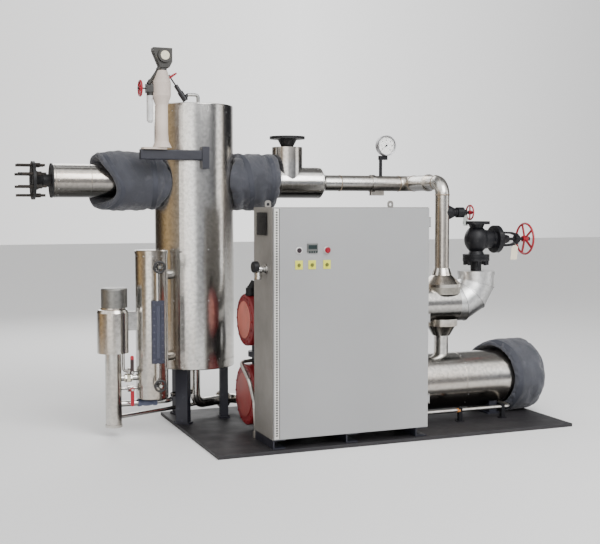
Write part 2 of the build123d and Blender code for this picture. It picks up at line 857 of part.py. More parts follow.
# Side valve on the riser: cone nozzle, small body, stem
side_z = 1648.0
side_wheel_x = 916.0
side_stem = 8.0
side_stem_end = side_wheel_x + 18
side_nut_start = side_wheel_x + 14
with BuildPart() as side_valve:
    with BuildSketch(along_x(heater_y, side_z)):
        with BuildLine():
            Polyline(
                (riser_x, 0),
                (riser_x, 55),
                (riser_x + 66, 55),
                (riser_x + 118, 32),
                (riser_x + 132, 32),
                (riser_x + 132, 42),
                (riser_x + 190, 42),
                (riser_x + 206, 22),
                (riser_x + 222, 22),
                (riser_x + 222, side_stem),
                (side_stem_end, side_stem),
                (side_stem_end, 0),
                close=True,
            )
        make_face()
    revolve(axis=Axis((0, heater_y, side_z), (1, 0, 0)))
    with BuildSketch(Plane.XY.offset(side_z - 120)):
        with Locations((riser_x, heater_y)):
            Circle(riser_radius)
    extrude(amount=240, mode=Mode.SUBTRACT)
    with BuildSketch(Plane.YZ.offset(side_nut_start)):
        with Locations((heater_y, side_z)):
            Circle(13)
    extrude(amount=6)
save(side_valve, "side_valve")

side_wheel_plane = Plane(
    origin=(side_wheel_x, heater_y, side_z), x_dir=(0, 1, 0), z_dir=(1, 0, 0)
)
save(
    handwheel(side_wheel_plane, 57, 6.5, 16, 26, side_stem + running_clearance, 4, 11),
    "side_valve_handwheel",
)

# Control cabinet shell, open at the front, with lifting eyes, side grille and hinge brackets
with BuildPart() as cabinet_shell:
    with BuildSketch(Plane.XY.offset(cabinet_bottom_z)):
        with Locations((cabinet_mid_x, (shell_front_y + cabinet_back_y) / 2)):
            Rectangle(cabinet_width, cabinet_back_y - shell_front_y)
    extrude(amount=cabinet_height)
    with BuildSketch(Plane.XZ.offset(-shell_front_y)):
        with Locations((cabinet_mid_x, cabinet_mid_z)):
            Rectangle(cabinet_width - 2 * panel, cabinet_height - 2 * panel)
    extrude(amount=-(cabinet_back_y - panel - shell_front_y), mode=Mode.SUBTRACT)
    for eye_x in (-998.0, -52.0):
        with BuildSketch(Plane.XZ.offset(600)):
            with Locations((eye_x, cabinet_top_z + 20)):
                RectangleRounded(44, 56, 20)
                Circle(11, mode=Mode.SUBTRACT)
        extrude(amount=5, both=True)
    with BuildSketch(Plane.YZ.offset(cabinet_left_x)):
        with Locations((grille_y, grille_z)):
            RectangleRounded(166, 150, 6)
    extrude(amount=-10)
    for row in range(7):
        with BuildSketch(Plane.YZ.offset(cabinet_left_x - 10)):
            with Locations((grille_y, grille_z + (row - 3) * louvre_pitch)):
                Rectangle(140, 8)
        extrude(amount=6, mode=Mode.SUBTRACT)
    for hinge_z in hinge_heights:
        for end in (1, -1):
            with BuildSketch(Plane.XY.offset(hinge_z + end * 32)):
                with BuildLine():
                    Polyline(
                        (cabinet_right_x - 1, shell_front_y + 24),
                        (cabinet_right_x - 1, shell_front_y),
                        (hinge_x - 4, hinge_y - 7),
                        (hinge_x + 7, hinge_y - 7),
                        (hinge_x + 7, shell_front_y + 12),
                        (cabinet_right_x + 2, shell_front_y + 24),
                        close=True,
                    )
                make_face()
            extrude(amount=3, both=True)
        with BuildSketch(Plane.XY.offset(hinge_z)):
            with Locations((hinge_x, hinge_y)):
                Circle(hinge_pin_radius)
        extrude(amount=35, both=True)
save(cabinet_shell, "cabinet_shell")

# Mounting plate inside the cabinet, on four stand-offs from the back
stand_off = 24.0
with BuildPart() as cabinet_mounting_plate:
    with BuildSketch(Plane.XZ.offset(-(cabinet_back_y - panel - stand_off))):
        with Locations((cabinet_mid_x, cabinet_mid_z)):
            Rectangle(1060, 1480)
    extrude(amount=4)
    with BuildSketch(Plane.XZ.offset(-(cabinet_back_y - panel))):
        with Locations((cabinet_mid_x, cabinet_mid_z)):
            with GridLocations(960, 1380, 2, 2):
                Circle(9)
    extrude(amount=stand_off)
save(cabinet_mounting_plate, "cabinet_mounting_plate")

# Three black channel feet under the cabinet
with BuildPart() as cabinet_feet:
    for foot_x in (-975.0, -425.0, 128.0):
        with BuildSketch(Plane.XZ.offset(-cabinet_back_y + 4)):
            with Locations((foot_x, (plate_thickness + cabinet_bottom_z) / 2)):
                Rectangle(92, cabinet_bottom_z - plate_thickness)
                with Locations((10, 0)):
                    Rectangle(92, cabinet_bottom_z - plate_thickness - 16, mode=Mode.SUBTRACT)
        extrude(amount=cabinet_depth - 24)
save(cabinet_feet, "cabinet_feet")

# Cable entry on the cabinet's left side: an elbow and a gland pointing back
entry_y = -640.0
entry_z = 1255.0
entry_x = cabinet_left_x - 62
entry_radius = 34.0
gland_y = -520.0
gland_z = 1262.0
gland_length = 34.0
with BuildPart() as cable_entry:
    with BuildSketch(Plane.YZ.offset(cabinet_left_x)):
        with Locations((entry_y, entry_z)):
            Circle(46)
    extrude(amount=-14)
    with BuildLine():
        FilletPolyline(
            (cabinet_left_x - 10, entry_y, entry_z),
            (entry_x, entry_y, entry_z),
            (entry_x, gland_y, gland_z),
            radius=40,
        )
    with BuildSketch(Plane.YZ.offset(cabinet_left_x - 10)):
        with Locations((entry_y, entry_z)):
            Circle(entry_radius)
    sweep()
    with BuildSketch(Plane.XZ.offset(-gland_y)):
        with Locations((entry_x, gland_z)):
            RegularPolygon(42, 6)
    extrude(amount=-gland_length)
    with BuildSketch(Plane.XZ.offset(-gland_y - gland_length)):
        with Locations((entry_x, gland_z)):
            Circle(entry_radius)
    extrude(amount=-40, taper=14)
save(cable_entry, "cable_entry")

# Cabinet door, a folded panel hinged on its right edge
door_left = cabinet_left_x + door_margin
door_right = cabinet_right_x - door_margin
door_low = cabinet_bottom_z + door_margin
door_high = cabinet_top_z - door_margin
with BuildPart() as cabinet_door:
    with BuildSketch(Plane.XZ.offset(-cabinet_front_y)):
        with Locations(((door_left + door_right) / 2, (door_low + door_high) / 2)):
            RectangleRounded(door_right - door_left, door_high - door_low, 4)
    extrude(amount=-door_thickness)
    chamfer(cabinet_door.faces().sort_by(Axis.Y)[0].edges(), 2)
    for hinge_z in hinge_heights:
        with BuildSketch(Plane.XY.offset(hinge_z)):
            with Locations((hinge_x, hinge_y)):
                Circle(7)
            with BuildLine():
                Polyline(
                    (door_right - 4, cabinet_front_y + 3),
                    (hinge_x, hinge_y - 6),
                    (hinge_x, hinge_y + 3),
                    (door_right - 4, cabinet_front_y + door_thickness - 1),
                    close=True,
                )
            make_face()
        extrude(amount=27, both=True)
        with BuildSketch(Plane.XY.offset(hinge_z)):
            with Locations((hinge_x, hinge_y)):
                Circle(hinge_pin_radius + running_clearance)
        extrude(amount=40, both=True, mode=Mode.SUBTRACT)
save(cabinet_door, "cabinet_door")

# Controls on the door: push button, display, stop button and three selector switches
selectors = ((-838, 1294), (-741, 1294), (-630, 1294))
push_button = (-837, 1394)
stop_button = (-631, 1396)
bezel_depth = 5.0
with BuildPart() as door_controls:
    with BuildSketch(Plane.XZ.offset(-cabinet_front_y)):
        with Locations(push_button, stop_button):
            Circle(24)
        with Locations(*selectors):
            RectangleRounded(46, 46, 6)
    extrude(amount=bezel_depth)
    with BuildSketch(Plane.XZ.offset(-cabinet_front_y)):
        with Locations((-739, 1404)):
            RectangleRounded(86, 74, 4)
    extrude(amount=8)
    with BuildSketch(Plane.XZ.offset(-cabinet_front_y + bezel_depth)):
        with Locations(push_button):
            Circle(17)
        with Locations(*selectors):
            Circle(15)
    extrude(amount=10)
    with BuildSketch(Plane.XZ.offset(-cabinet_front_y + bezel_depth)):
        with Locations(stop_button):
            Circle(21)
    extrude(amount=20, taper=-8)
save(door_controls, "door_controls")

# Level column beside the vessel, held by two stubs from the vessel wall
stub_angle = atan2(vessel_y - column_y, vessel_x - column_x)
stub_reach = sqrt((vessel_y - column_y) ** 2 + (vessel_x - column_x) ** 2)
with BuildPart() as level_column:
    with BuildSketch(upright(column_x, column_y)):
        with BuildLine():
            Polyline(
                (0, column_bottom_z),
                (column_radius - 8, column_bottom_z),
                (column_radius, column_bottom_z + 8),
                (column_radius, column_top_z - 26),
                (column_radius + 4, column_top_z - 26),
                (column_radius + 4, column_top_z - 6),
                (column_radius - 2, column_top_z),
                (0, column_top_z),
                close=True,
            )
        make_face()
    revolve(axis=Axis((column_x, column_y, 0), (0, 0, 1)))
    for stub_z in stub_heights:
        stub_plane = Plane(
            origin=(column_x, column_y, stub_z),
            x_dir=(0, 0, 1),
            z_dir=(cos(stub_angle), sin(stub_angle), 0),
        )
        with BuildSketch(stub_plane):
            Circle(38)
        extrude(amount=stub_reach - 200)
    with BuildSketch(Plane.XY.offset(column_bottom_z)):
        with Locations((vessel_x, vessel_y)):
            Circle(vessel_radius)
    extrude(amount=1200, mode=Mode.SUBTRACT)
save(level_column, "level_column")

# Sight gauge: glass body between two cocks that come forward out of the column
glass_low = 548.0
glass_high = 1008.0
glass_width = 92.0
glass_depth = 40.0
glass_front_y = gauge_y - glass_depth / 2
with BuildPart() as sight_gauge:
    with BuildSketch(Plane.XY.offset(glass_low)):
        with Locations((gauge_x, gauge_y)):
            RectangleRounded(glass_width, glass_depth, 6)
    extrude(amount=glass_high - glass_low)
    with BuildSketch(Plane.XZ.offset(-glass_front_y)):
        with Locations((gauge_x, (glass_low + glass_high) / 2)):
            RectangleRounded(34, glass_high - glass_low - 60, 16)
    extrude(amount=-6, mode=Mode.SUBTRACT)
save(sight_gauge, "sight_gauge")

cock_body_front_y = gauge_y - 30
cock_stem_radius = 6.0
cock_wheel_y = gauge_y - 62
with BuildPart() as gauge_cocks:
    for cock_z, glass_end in zip(cock_heights, (glass_high, glass_low)):
        with BuildSketch(Plane.XZ.offset(-column_y)):
            with Locations((gauge_x, cock_z)):
                Circle(24)
        extrude(amount=column_y - cock_body_front_y)
        with BuildSketch(Plane.XZ.offset(-cock_body_front_y)):
            with Locations((gauge_x, cock_z)):
                Circle(cock_stem_radius)
        extrude(amount=cock_body_front_y - cock_wheel_y + 18)
        with BuildSketch(Plane.XZ.offset(-(cock_wheel_y - 13))):
            with Locations((gauge_x, cock_z)):
                Circle(11)
        extrude(amount=7)
        with BuildSketch(Plane.XY.offset(glass_end)):
            with Locations((gauge_x, gauge_y)):
                Circle(18)
        extrude(amount=cock_z - glass_end)
    with BuildSketch(Plane.XY.offset(0)):
        with Locations((column_x, column_y)):
            Circle(column_radius)
    extrude(amount=column_top_z - 60, mode=Mode.SUBTRACT)
save(gauge_cocks, "gauge_cocks")

for cock_name, cock_z in (("upper_cock_wheel", cock_heights[0]), ("lower_cock_wheel", cock_heights[1])):
    cock_plane = Plane(origin=(gauge_x, cock_wheel_y, cock_z), x_dir=(1, 0, 0), z_dir=(0, -1, 0))
    save(
        handwheel(cock_plane, 39, 8.5, 14, 22, cock_stem_radius + running_clearance, 4, 10),
        cock_name,
    )

# Probe chamber: thin pipe, wide body and the cap over its head
probe_foot_z = 70.0
probe_foot_height = 20.0
cap_low_z = 956.0
with BuildPart() as probe_chamber:
    with BuildSketch(upright(probe_x, probe_y)):
        with BuildLine():
            Polyline(
                (0, probe_foot_z),
                (64, probe_foot_z),
                (64, probe_foot_z + probe_foot_height),
                (60, probe_foot_z + probe_foot_height),
                (60, 616),
                (116, 622),
                (116, 918),
                (108, 940),
                (94, 946),
                (94, cap_low_z),
                (0, cap_low_z),
                close=True,
            )
        make_face()
    revolve(axis=Axis((probe_x, probe_y, 0), (0, 0, 1)))
save(probe_chamber, "probe_chamber")

with BuildPart() as probe_cap:
    with BuildSketch(Plane.XY.offset(cap_low_z)):
        with Locations((cap_x, probe_y)):
            Circle(96)
    extrude(amount=144)
    fillet(probe_cap.faces().sort_by(Axis.Z)[-1].edges(), 14)
save(probe_cap, "probe_cap")

# Links between the probe chamber and the level column: a bracket, the bent level pipe, a
# union and a straight pipe, with the bodies of two ball cocks and their stems
lever_x = -1806.0
upper_lever_z = 478.0
lower_lever_z = 350.0
union_z = 428.0
cock_front_y = probe_y - 26
boss_end_y = probe_y - 62
lever_face_y = probe_y - 70
lever_thickness = 9.0
small_pipe = 11.0
link_top_z = 700.0
link_pipe_x = probe_x + 75
lever_stem = 6.0
with BuildPart() as level_links:
    with BuildSketch(Plane.YZ.offset(probe_x + 90)):
        with Locations((probe_y, 852)):
            Rectangle(46, 140)
    extrude(amount=100)
    with BuildLine():
        FilletPolyline(
            (link_pipe_x, probe_y, link_top_z),
            (link_pipe_x, probe_y, upper_lever_z),
            (column_x, probe_y, upper_lever_z),
            radius=24,
        )
    with BuildSketch(Plane.XY.offset(link_top_z)):
        with Locations((link_pipe_x, probe_y)):
            Circle(small_pipe)
    sweep()
    with BuildSketch(Plane.YZ.offset(probe_x)):
        with Locations((probe_y, union_z)):
            Circle(22)
        with Locations((probe_y, lower_lever_z)):
            Circle(small_pipe)
    extrude(amount=column_x - probe_x)
    with BuildSketch(Plane.YZ.offset(probe_x + 84)):
        with Locations((probe_y, union_z)):
            RegularPolygon(32, 8)
    extrude(amount=50)
    for body_z in (upper_lever_z, lower_lever_z):
        with BuildSketch(Plane.YZ.offset(lever_x - 22)):
            with Locations((probe_y, body_z)):
                RectangleRounded(52, 52, 14)
        extrude(amount=44)
        with BuildSketch(Plane.XZ.offset(-(cock_front_y + 4))):
            with Locations((lever_x, body_z)):
                Circle(12)
        extrude(amount=cock_front_y + 4 - boss_end_y)
        with BuildSketch(Plane.XZ.offset(-boss_end_y)):
            with Locations((lever_x, body_z)):
                Circle(lever_stem)
        extrude(amount=24)
        with BuildSketch(Plane.XZ.offset(-(lever_face_y - lever_thickness - 2))):
            with Locations((lever_x, body_z)):
                RegularPolygon(10, 6)
        extrude(amount=6)
    add(probe_chamber.part, mode=Mode.SUBTRACT)
    add(level_column.part, mode=Mode.SUBTRACT)


def cock_lever(pivot_z, toward):
    """Flat lever of a ball cock on its stem, standing up or hanging down."""
    with BuildPart() as lever:
        with BuildSketch(Plane.XZ.offset(-lever_face_y)):
            with Locations((lever_x, pivot_z)):
                Circle(16)
            with Locations((lever_x, pivot_z + toward * 58)):
                RectangleRounded(26, 132, 12)
        extrude(amount=lever_thickness)
        with BuildSketch(Plane.XZ.offset(-lever_face_y - 1)):
            with Locations((lever_x, pivot_z)):
                Circle(lever_stem + running_clearance)
        extrude(amount=lever_thickness + 4, both=True, mode=Mode.SUBTRACT)
    return lever


save(cock_lever(upper_lever_z, 1), "upper_cock_lever")
save(cock_lever(lower_lever_z, -1), "lower_cock_lever")

# Blue-grey drain valve between the probe chamber's foot and the vessel's drain pipe
valve_low_z = 236.0
valve_low_y = probe_y
valve_low_x = -1678.0
valve_low_half = 72.0
with BuildPart() as level_valve:
    with BuildSketch(along_x(valve_low_y, valve_low_z)):
        with BuildLine():
            Polyline(
                (valve_low_x - 34, 24),
                (valve_low_x - 46, 24),
                (valve_low_x - 46, 29),
                (valve_low_x - valve_low_half, 29),
                (valve_low_x - valve_low_half, 0),
                (valve_low_x + valve_low_half, 0),
                (valve_low_x + valve_low_half, 29),
                (valve_low_x + 46, 29),
                (valve_low_x + 46, 24),
                (valve_low_x + 34, 24),
            )
            ThreePointArc(
                (valve_low_x + 34, 24), (valve_low_x, 29), (valve_low_x - 34, 24)
            )
        make_face()
    revolve(axis=Axis((0, valve_low_y, valve_low_z), (1, 0, 0)))
save(level_valve, "level_valve")

# Level pipes at the foot: one from the valve round the front leg to the vessel's drain pipe,
# and a long straight one from the chamber's foot to the drain pipe's bend
valve_pipe_radius = 19.0
long_pipe_radius = 15.0
long_pipe_z = 136.0
with BuildPart() as level_drain_pipes:
    with BuildSketch(Plane.YZ.offset(probe_x)):
        with Locations((valve_low_y, valve_low_z)):
            Circle(22)
    extrude(amount=valve_low_x - valve_low_half - probe_x)
    with BuildLine():
        FilletPolyline(
            (valve_low_x + valve_low_half, valve_low_y, valve_low_z),
            (-1500, valve_low_y + 2, valve_low_z),
            (-1446, 412, valve_low_z),
            (vessel_x, vessel_y, valve_low_z),
            radius=70,
        )
    with BuildSketch(Plane.YZ.offset(valve_low_x + valve_low_half)):
        with Locations((valve_low_y, valve_low_z)):
            Circle(valve_pipe_radius)
    sweep()
    bend_end = Vector(vessel_x + drain_bend * turn_x, vessel_y + drain_bend * turn_y, long_pipe_z)
    chamber_foot = Vector(probe_x, probe_y, long_pipe_z)
    with BuildSketch(Plane(origin=chamber_foot, z_dir=(bend_end - chamber_foot).normalized())):
        Circle(long_pipe_radius)
    extrude(amount=(bend_end - chamber_foot).length)
    add(probe_chamber.part, mode=Mode.SUBTRACT)
    add(vessel_drain_pipe.part, mode=Mode.SUBTRACT)
    add(level_links.part)
save(level_drain_pipes, "level_pipes")

# Transmitter arm: a bar along the vessel's front, its end block against the shell
arm_left_x = -1723.0
arm_right_x = -1206.0
arm_z = 2077.0
with BuildPart() as transmitter_arm:
    with BuildSketch(Plane.YZ.offset(arm_left_x)):
        with Locations((stand_y, arm_z)):
            RectangleRounded(56, 74, 8)
    extrude(amount=arm_right_x - arm_left_x)
    with BuildSketch(Plane.XZ.offset(-(stand_y - 34))):
        with Locations((arm_right_x - 27, 2059)):
            Rectangle(54, 164)
    extrude(amount=-100)
    with BuildSketch(Plane.XY.offset(1900)):
        with Locations((vessel_x, vessel_y)):
            Circle(vessel_radius)
    extrude(amount=400, mode=Mode.SUBTRACT)
save(transmitter_arm, "transmitter_arm")

# Stanchion: flared foot on the arm, slim waist and a swollen upper body
stanchion_x = -1560.0
stanchion_low = arm_z + 37
stanchion_top = 2690.0
foot_plate = 14.0
swell_radius = 70.0
with BuildPart() as transmitter_stanchion:
    with BuildSketch(Plane.XY.offset(stanchion_low)):
        with Locations((stanchion_x - 60, stand_y)):
            RectangleRounded(180, 110, 20)
    extrude(amount=foot_plate)
    with BuildSketch(upright(stanchion_x, stand_y)):
        with BuildLine():
            Polyline(
                (0, stanchion_low + foot_plate),
                (72, stanchion_low + foot_plate),
                (50, stanchion_low + 60),
                (46, stanchion_low + 120),
                (46, 2440),
                (swell_radius, 2505),
                (swell_radius, 2600),
                (44, stanchion_top),
                (0, stanchion_top),
                (0, stanchion_low + foot_plate),
            )
        make_face()
    revolve(axis=Axis((stanchion_x, stand_y, 0), (0, 0, 1)))
save(transmitter_stanchion, "transmitter_stanchion")

# Head: black housing with an ear, a round bezel and a dial, on a nut
head_x = -1541.0
head_z = 2798.0
head_half_depth = 38.0
bezel_rise = 14.0
with BuildPart() as transmitter_head:
    with BuildSketch(Plane.XY.offset(stanchion_top)):
        with Locations((stanchion_x + 8, stand_y)):
            RegularPolygon(34, 6)
    extrude(amount=24)
    with BuildSketch(Plane.XZ.offset(-stand_y)):
        with BuildLine():
            Polyline(
                (head_x - 34, 2711),
                (head_x + 34, 2711),
                (head_x + 56, 2752),
                (head_x + 56, 2853),
                (head_x - 86, 2853),
                (head_x - 86, 2830),
                close=True,
            )
        make_face()
    extrude(amount=head_half_depth, both=True)
    with BuildSketch(Plane.XZ.offset(-(stand_y - head_half_depth))):
        with Locations((head_x, head_z)):
            Circle(52)
    extrude(amount=bezel_rise)
    with BuildSketch(Plane.XZ.offset(-(stand_y - head_half_depth - bezel_rise))):
        with Locations((head_x, head_z)):
            Circle(34)
    extrude(amount=-6, mode=Mode.SUBTRACT)
save(transmitter_head, "transmitter_head")

# Left instrument valve: block on the stanchion, pot below it, stem pointing left
left_valve_z = 2556.0
left_wheel_x = -1718.0
pot_x = -1646.0
valve_block_x = -1676.0
small_stem = 6.0
with BuildPart() as left_instrument_valve:
    with BuildSketch(Plane.YZ.offset(valve_block_x)):
        with Locations((stand_y, left_valve_z)):
            RectangleRounded(56, 66, 10)
    extrude(amount=100)
    with BuildSketch(Plane.YZ.offset(valve_block_x)):
        with Locations((stand_y, left_valve_z)):
            Circle(small_stem)
    extrude(amount=left_wheel_x - 16 - valve_block_x)
    with BuildSketch(Plane.YZ.offset(left_wheel_x - 13)):
        with Locations((stand_y, left_valve_z)):
            Circle(11)
    extrude(amount=-6)
    with BuildSketch(upright(pot_x, stand_y)):
        with BuildLine():
            Polyline(
                (0, left_valve_z - 25),
                (25, left_valve_z - 25),
                (25, 2324),
                (14, 2308),
                (0, 2308),
                close=True,
            )
        make_face()
    revolve(axis=Axis((pot_x, stand_y, 0), (0, 0, 1)))
    with BuildSketch(Plane.XY.offset(2280)):
        with Locations((stanchion_x, stand_y)):
            Circle(swell_radius)
    extrude(amount=400, mode=Mode.SUBTRACT)
save(left_instrument_valve, "left_instrument_valve")

left_wheel_plane = Plane(
    origin=(left_wheel_x, stand_y, left_valve_z), x_dir=(0, 1, 0), z_dir=(1, 0, 0)
)
save(
    handwheel(left_wheel_plane, 54, 8, 14, 20, small_stem + running_clearance, 3, 12),
    "left_instrument_wheel",
)

# Right instrument valve: a silver pipe arched off the vessel's top, then a slanted body and
# stem that point up to the left
right_y = 300.0
arch_foot_x = -1236.0
arch_top_z = vessel_top_z + 66
body_foot_x = -1340.0
right_axis = Vector(-0.57, 0, 0.82).normalized()
body_start = Vector(body_foot_x, right_y, vessel_top_z + 30)
right_plane = Plane(origin=body_start, x_dir=(0, 1, 0), z_dir=right_axis)
right_wheel_reach = 196.0
with BuildPart() as right_instrument_valve:
    with BuildLine():
        FilletPolyline(
            (arch_foot_x, right_y, vessel_top_z),
            (arch_foot_x, right_y, arch_top_z),
            (body_foot_x + 10, right_y, arch_top_z),
            (body_foot_x + 10, right_y, arch_top_z - 40),
            radius=22,
        )
    with BuildSketch(Plane.XY.offset(vessel_top_z)):
        with Locations((arch_foot_x, right_y)):
            Circle(13)
    sweep()
    with BuildSketch(right_plane.offset(-12)):
        Circle(22)
    extrude(amount=78)
    with BuildSketch(right_plane.offset(66)):
        Circle(16)
    extrude(amount=60)
    with BuildSketch(right_plane.offset(126)):
        Circle(small_stem)
    extrude(amount=right_wheel_reach - 126 + 16)
    with BuildSketch(right_plane.offset(right_wheel_reach + 13)):
        Circle(11)
    extrude(amount=6)
save(right_instrument_valve, "right_instrument_valve")

right_wheel_plane = Plane(
    origin=body_start + right_axis * right_wheel_reach, x_dir=(0, 1, 0), z_dir=right_axis
)
save(
    handwheel(right_wheel_plane, 52, 7, 13, 18, small_stem + running_clearance, 3, 11),
    "right_instrument_wheel",
)

# Silver conduits: one from the channel link down past the lower cover's front edge to the deck,
# one from the cabinet's right side along the deck and back to the lower heater
conduit_radius = 14.0
left_conduit_y = -351.0
left_route = (
    (channel_link_x - 20, heater_y, 548),
    (-1046, -128, 548),
    (-1050, left_conduit_y, 430),
    (-1016, left_conduit_y, 285),
    (-1002, left_conduit_y, plate_thickness + 6),
)
deck_conduit_y = -415.0
deck_conduit_z = 112.0
deck_route = (
    (cabinet_right_x, deck_conduit_y, deck_conduit_z),
    (1120, deck_conduit_y, deck_conduit_z),
    (1120, heater_y - 60, deck_conduit_z),
)
with BuildPart() as conduits:
    for route in (left_route, deck_route):
        with BuildLine():
            FilletPolyline(*route, radius=60)
        first_run = Vector(*route[1]) - Vector(*route[0])
        with BuildSketch(Plane(origin=route[0], z_dir=first_run.normalized())):
            Circle(conduit_radius)
        sweep()
    with BuildSketch(Plane.XY.offset(plate_thickness)):
        with Locations(left_route[-1][:2]):
            Circle(24)
    extrude(amount=44)
    add(channel_link.part, mode=Mode.SUBTRACT)
    with BuildSketch(Plane.YZ.offset(900)):
        with Locations((heater_y, lower_z)):
            Circle(lower_radius)
    extrude(amount=265, mode=Mode.SUBTRACT)
save(conduits, "conduits")

# Two black posts that hold the deck conduit, each with a saddle clip and a foot
post_size = 30.0
with BuildPart() as conduit_posts:
    for post_x in (655.0, 1040.0):
        with BuildSketch(Plane.XY.offset(plate_thickness)):
            with Locations((post_x, deck_conduit_y)):
                Rectangle(post_size + 30, post_size + 10)
        extrude(amount=6)
        with BuildSketch(Plane.XY.offset(plate_thickness)):
            with Locations((post_x, deck_conduit_y)):
                Rectangle(post_size, post_size)
        extrude(amount=deck_conduit_z + 20 - plate_thickness)
    with BuildSketch(Plane.YZ.offset(600)):
        with Locations((deck_conduit_y, deck_conduit_z)):
            Circle(conduit_radius)
    extrude(amount=500, mode=Mode.SUBTRACT)
save(conduit_posts, "conduit_posts")
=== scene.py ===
import math

import bmesh
import bpy
from mathutils import Matrix, Vector, noise
from mathutils.bvhtree import BVHTree


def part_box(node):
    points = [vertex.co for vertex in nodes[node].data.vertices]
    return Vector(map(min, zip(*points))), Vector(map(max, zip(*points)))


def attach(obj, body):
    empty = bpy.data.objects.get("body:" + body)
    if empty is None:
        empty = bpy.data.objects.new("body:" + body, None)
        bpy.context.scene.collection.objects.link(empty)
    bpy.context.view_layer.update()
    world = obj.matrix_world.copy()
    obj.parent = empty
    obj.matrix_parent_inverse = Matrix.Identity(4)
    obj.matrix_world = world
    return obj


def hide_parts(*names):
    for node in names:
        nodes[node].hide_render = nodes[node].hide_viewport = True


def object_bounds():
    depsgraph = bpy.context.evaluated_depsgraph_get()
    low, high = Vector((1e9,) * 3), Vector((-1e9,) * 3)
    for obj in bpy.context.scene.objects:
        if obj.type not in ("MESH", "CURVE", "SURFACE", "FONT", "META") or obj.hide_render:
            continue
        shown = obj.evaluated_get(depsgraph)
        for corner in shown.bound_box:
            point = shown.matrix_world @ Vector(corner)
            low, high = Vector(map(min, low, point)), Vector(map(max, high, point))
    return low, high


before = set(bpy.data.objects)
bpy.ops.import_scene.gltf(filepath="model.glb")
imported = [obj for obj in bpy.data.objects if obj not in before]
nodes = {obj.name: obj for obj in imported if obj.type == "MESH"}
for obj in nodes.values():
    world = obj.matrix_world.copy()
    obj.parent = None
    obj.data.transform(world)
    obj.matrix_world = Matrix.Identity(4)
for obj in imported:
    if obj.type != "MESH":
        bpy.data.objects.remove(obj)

cad_low, cad_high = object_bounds()

# Camera and studio
# The plant is seen from its left front corner at about a man's height with a short telephoto
# lens. It stands on a pale floor under one wide soft light, in a room with a warm left wall.
camera_yaw = math.radians(-21.672)
camera = bpy.data.objects.new("camera", bpy.data.cameras.new("camera"))
camera.data.lens = 61.3
camera.data.sensor_width = 36.0
camera.location = (-3.4106, -7.2735, 1.6925)
camera.rotation_euler = (math.radians(86.353), 0.0, camera_yaw)
bpy.context.scene.collection.objects.link(camera)
bpy.context.scene.camera = camera


def put(tree, kind, sockets=None, **settings):
    """Add a node. A socket's value is set on it, and another node's output is linked to it."""
    made = tree.nodes.new(kind)
    for key, value in settings.items():
        setattr(made, key, value)
    for key, value in (sockets or {}).items():
        if isinstance(value, bpy.types.NodeSocket):
            tree.links.new(value, made.inputs[key])
        else:
            made.inputs[key].default_value = value
    return made


def ramp(tree, factor, stops):
    """Colour ramp between (place, colour) stops, where a colour may be one grey number."""
    made = put(tree, "ShaderNodeValToRGB", {"Fac": factor})
    elements = made.color_ramp.elements
    while len(elements) < len(stops):
        elements.new(0.5)
    for element, (place, colour) in zip(elements, stops):
        element.position = place
        grey = isinstance(colour, (int, float))
        element.color = (colour, colour, colour, 1.0) if grey else (*colour, 1.0)
    return made.outputs["Color"]


room = bpy.data.worlds.new("studio_room")
room.use_nodes = True
room_tree = room.node_tree
room_direction = put(room_tree, "ShaderNodeTexCoord").outputs["Generated"]
to_right = (math.cos(camera_yaw), math.sin(camera_yaw), 0.0)
to_camera = (math.sin(camera_yaw), -math.cos(camera_yaw), 0.0)
across, towards = (
    put(room_tree, "ShaderNodeVectorMath", {0: room_direction, 1: way}, operation="DOT_PRODUCT")
    for way in (to_right, to_camera)
)
bearing = put(
    room_tree, "ShaderNodeMath", {0: across.outputs["Value"], 1: towards.outputs["Value"]},
    operation="ARCTAN2",
)
turn = put(
    room_tree, "ShaderNodeMapRange",
    {"Value": bearing.outputs[0], "From Min": -math.pi, "From Max": math.pi},
)
walls = ramp(room_tree, turn.outputs["Result"], [
    (0.00, (2.20, 2.20, 2.20)), (0.06, (1.50, 1.48, 1.46)), (0.10, (0.04, 0.035, 0.03)),
    (0.20, (0.10, 0.07, 0.045)), (0.28, (0.80, 0.55, 0.27)), (0.36, (0.42, 0.32, 0.21)),
    (0.405, (0.50, 0.42, 0.33)), (0.435, (3.00, 2.90, 2.76)), (0.510, (3.00, 3.00, 3.00)),
    (0.540, (0.62, 0.64, 0.68)), (0.63, (0.30, 0.31, 0.34)), (0.72, (0.035, 0.035, 0.04)),
    (0.90, (0.035, 0.035, 0.04)), (1.00, (2.20, 2.20, 2.20)),
])
height = put(room_tree, "ShaderNodeSeparateXYZ", {"Vector": room_direction})
overhead = ramp(room_tree, height.outputs["Z"], [(0.22, 0.0), (0.42, 1.0), (0.90, 1.0), (0.97, 0.35)])
lit_side = ramp(room_tree, towards.outputs["Value"], [(0.0, 0.22), (0.12, 2.1)])
ceiling = put(room_tree, "ShaderNodeMix", {0: overhead, 6: walls, 7: lit_side}, data_type="RGBA")
room_tree.links.new(ceiling.outputs[2], room_tree.nodes["Background"].inputs["Color"])
room_tree.nodes["Background"].inputs["Strength"].default_value = 0.85
bpy.context.scene.world = room

for light_name, light_place, light_size, light_power in (
    ("high_softbox", Vector((0.8, -5.4, 5.4)), 4.2, 420.0),
    ("back_softbox", Vector((-0.5, 6.0, 5.0)), 5.0, 260.0),
    ("right_fill", Vector((5.6, -3.0, 2.2)), 3.0, 60.0),
):
    softbox = bpy.data.lights.new(light_name, "AREA")
    softbox.shape = "SQUARE"
    softbox.size = light_size
    softbox.energy = light_power
    lamp = bpy.data.objects.new(light_name, softbox)
    lamp.location = light_place
    aim = Vector((0.0, 0.0, 1.0)) - light_place
    lamp.rotation_euler = aim.to_track_quat("-Z", "Y").to_euler()
    bpy.context.scene.collection.objects.link(lamp)

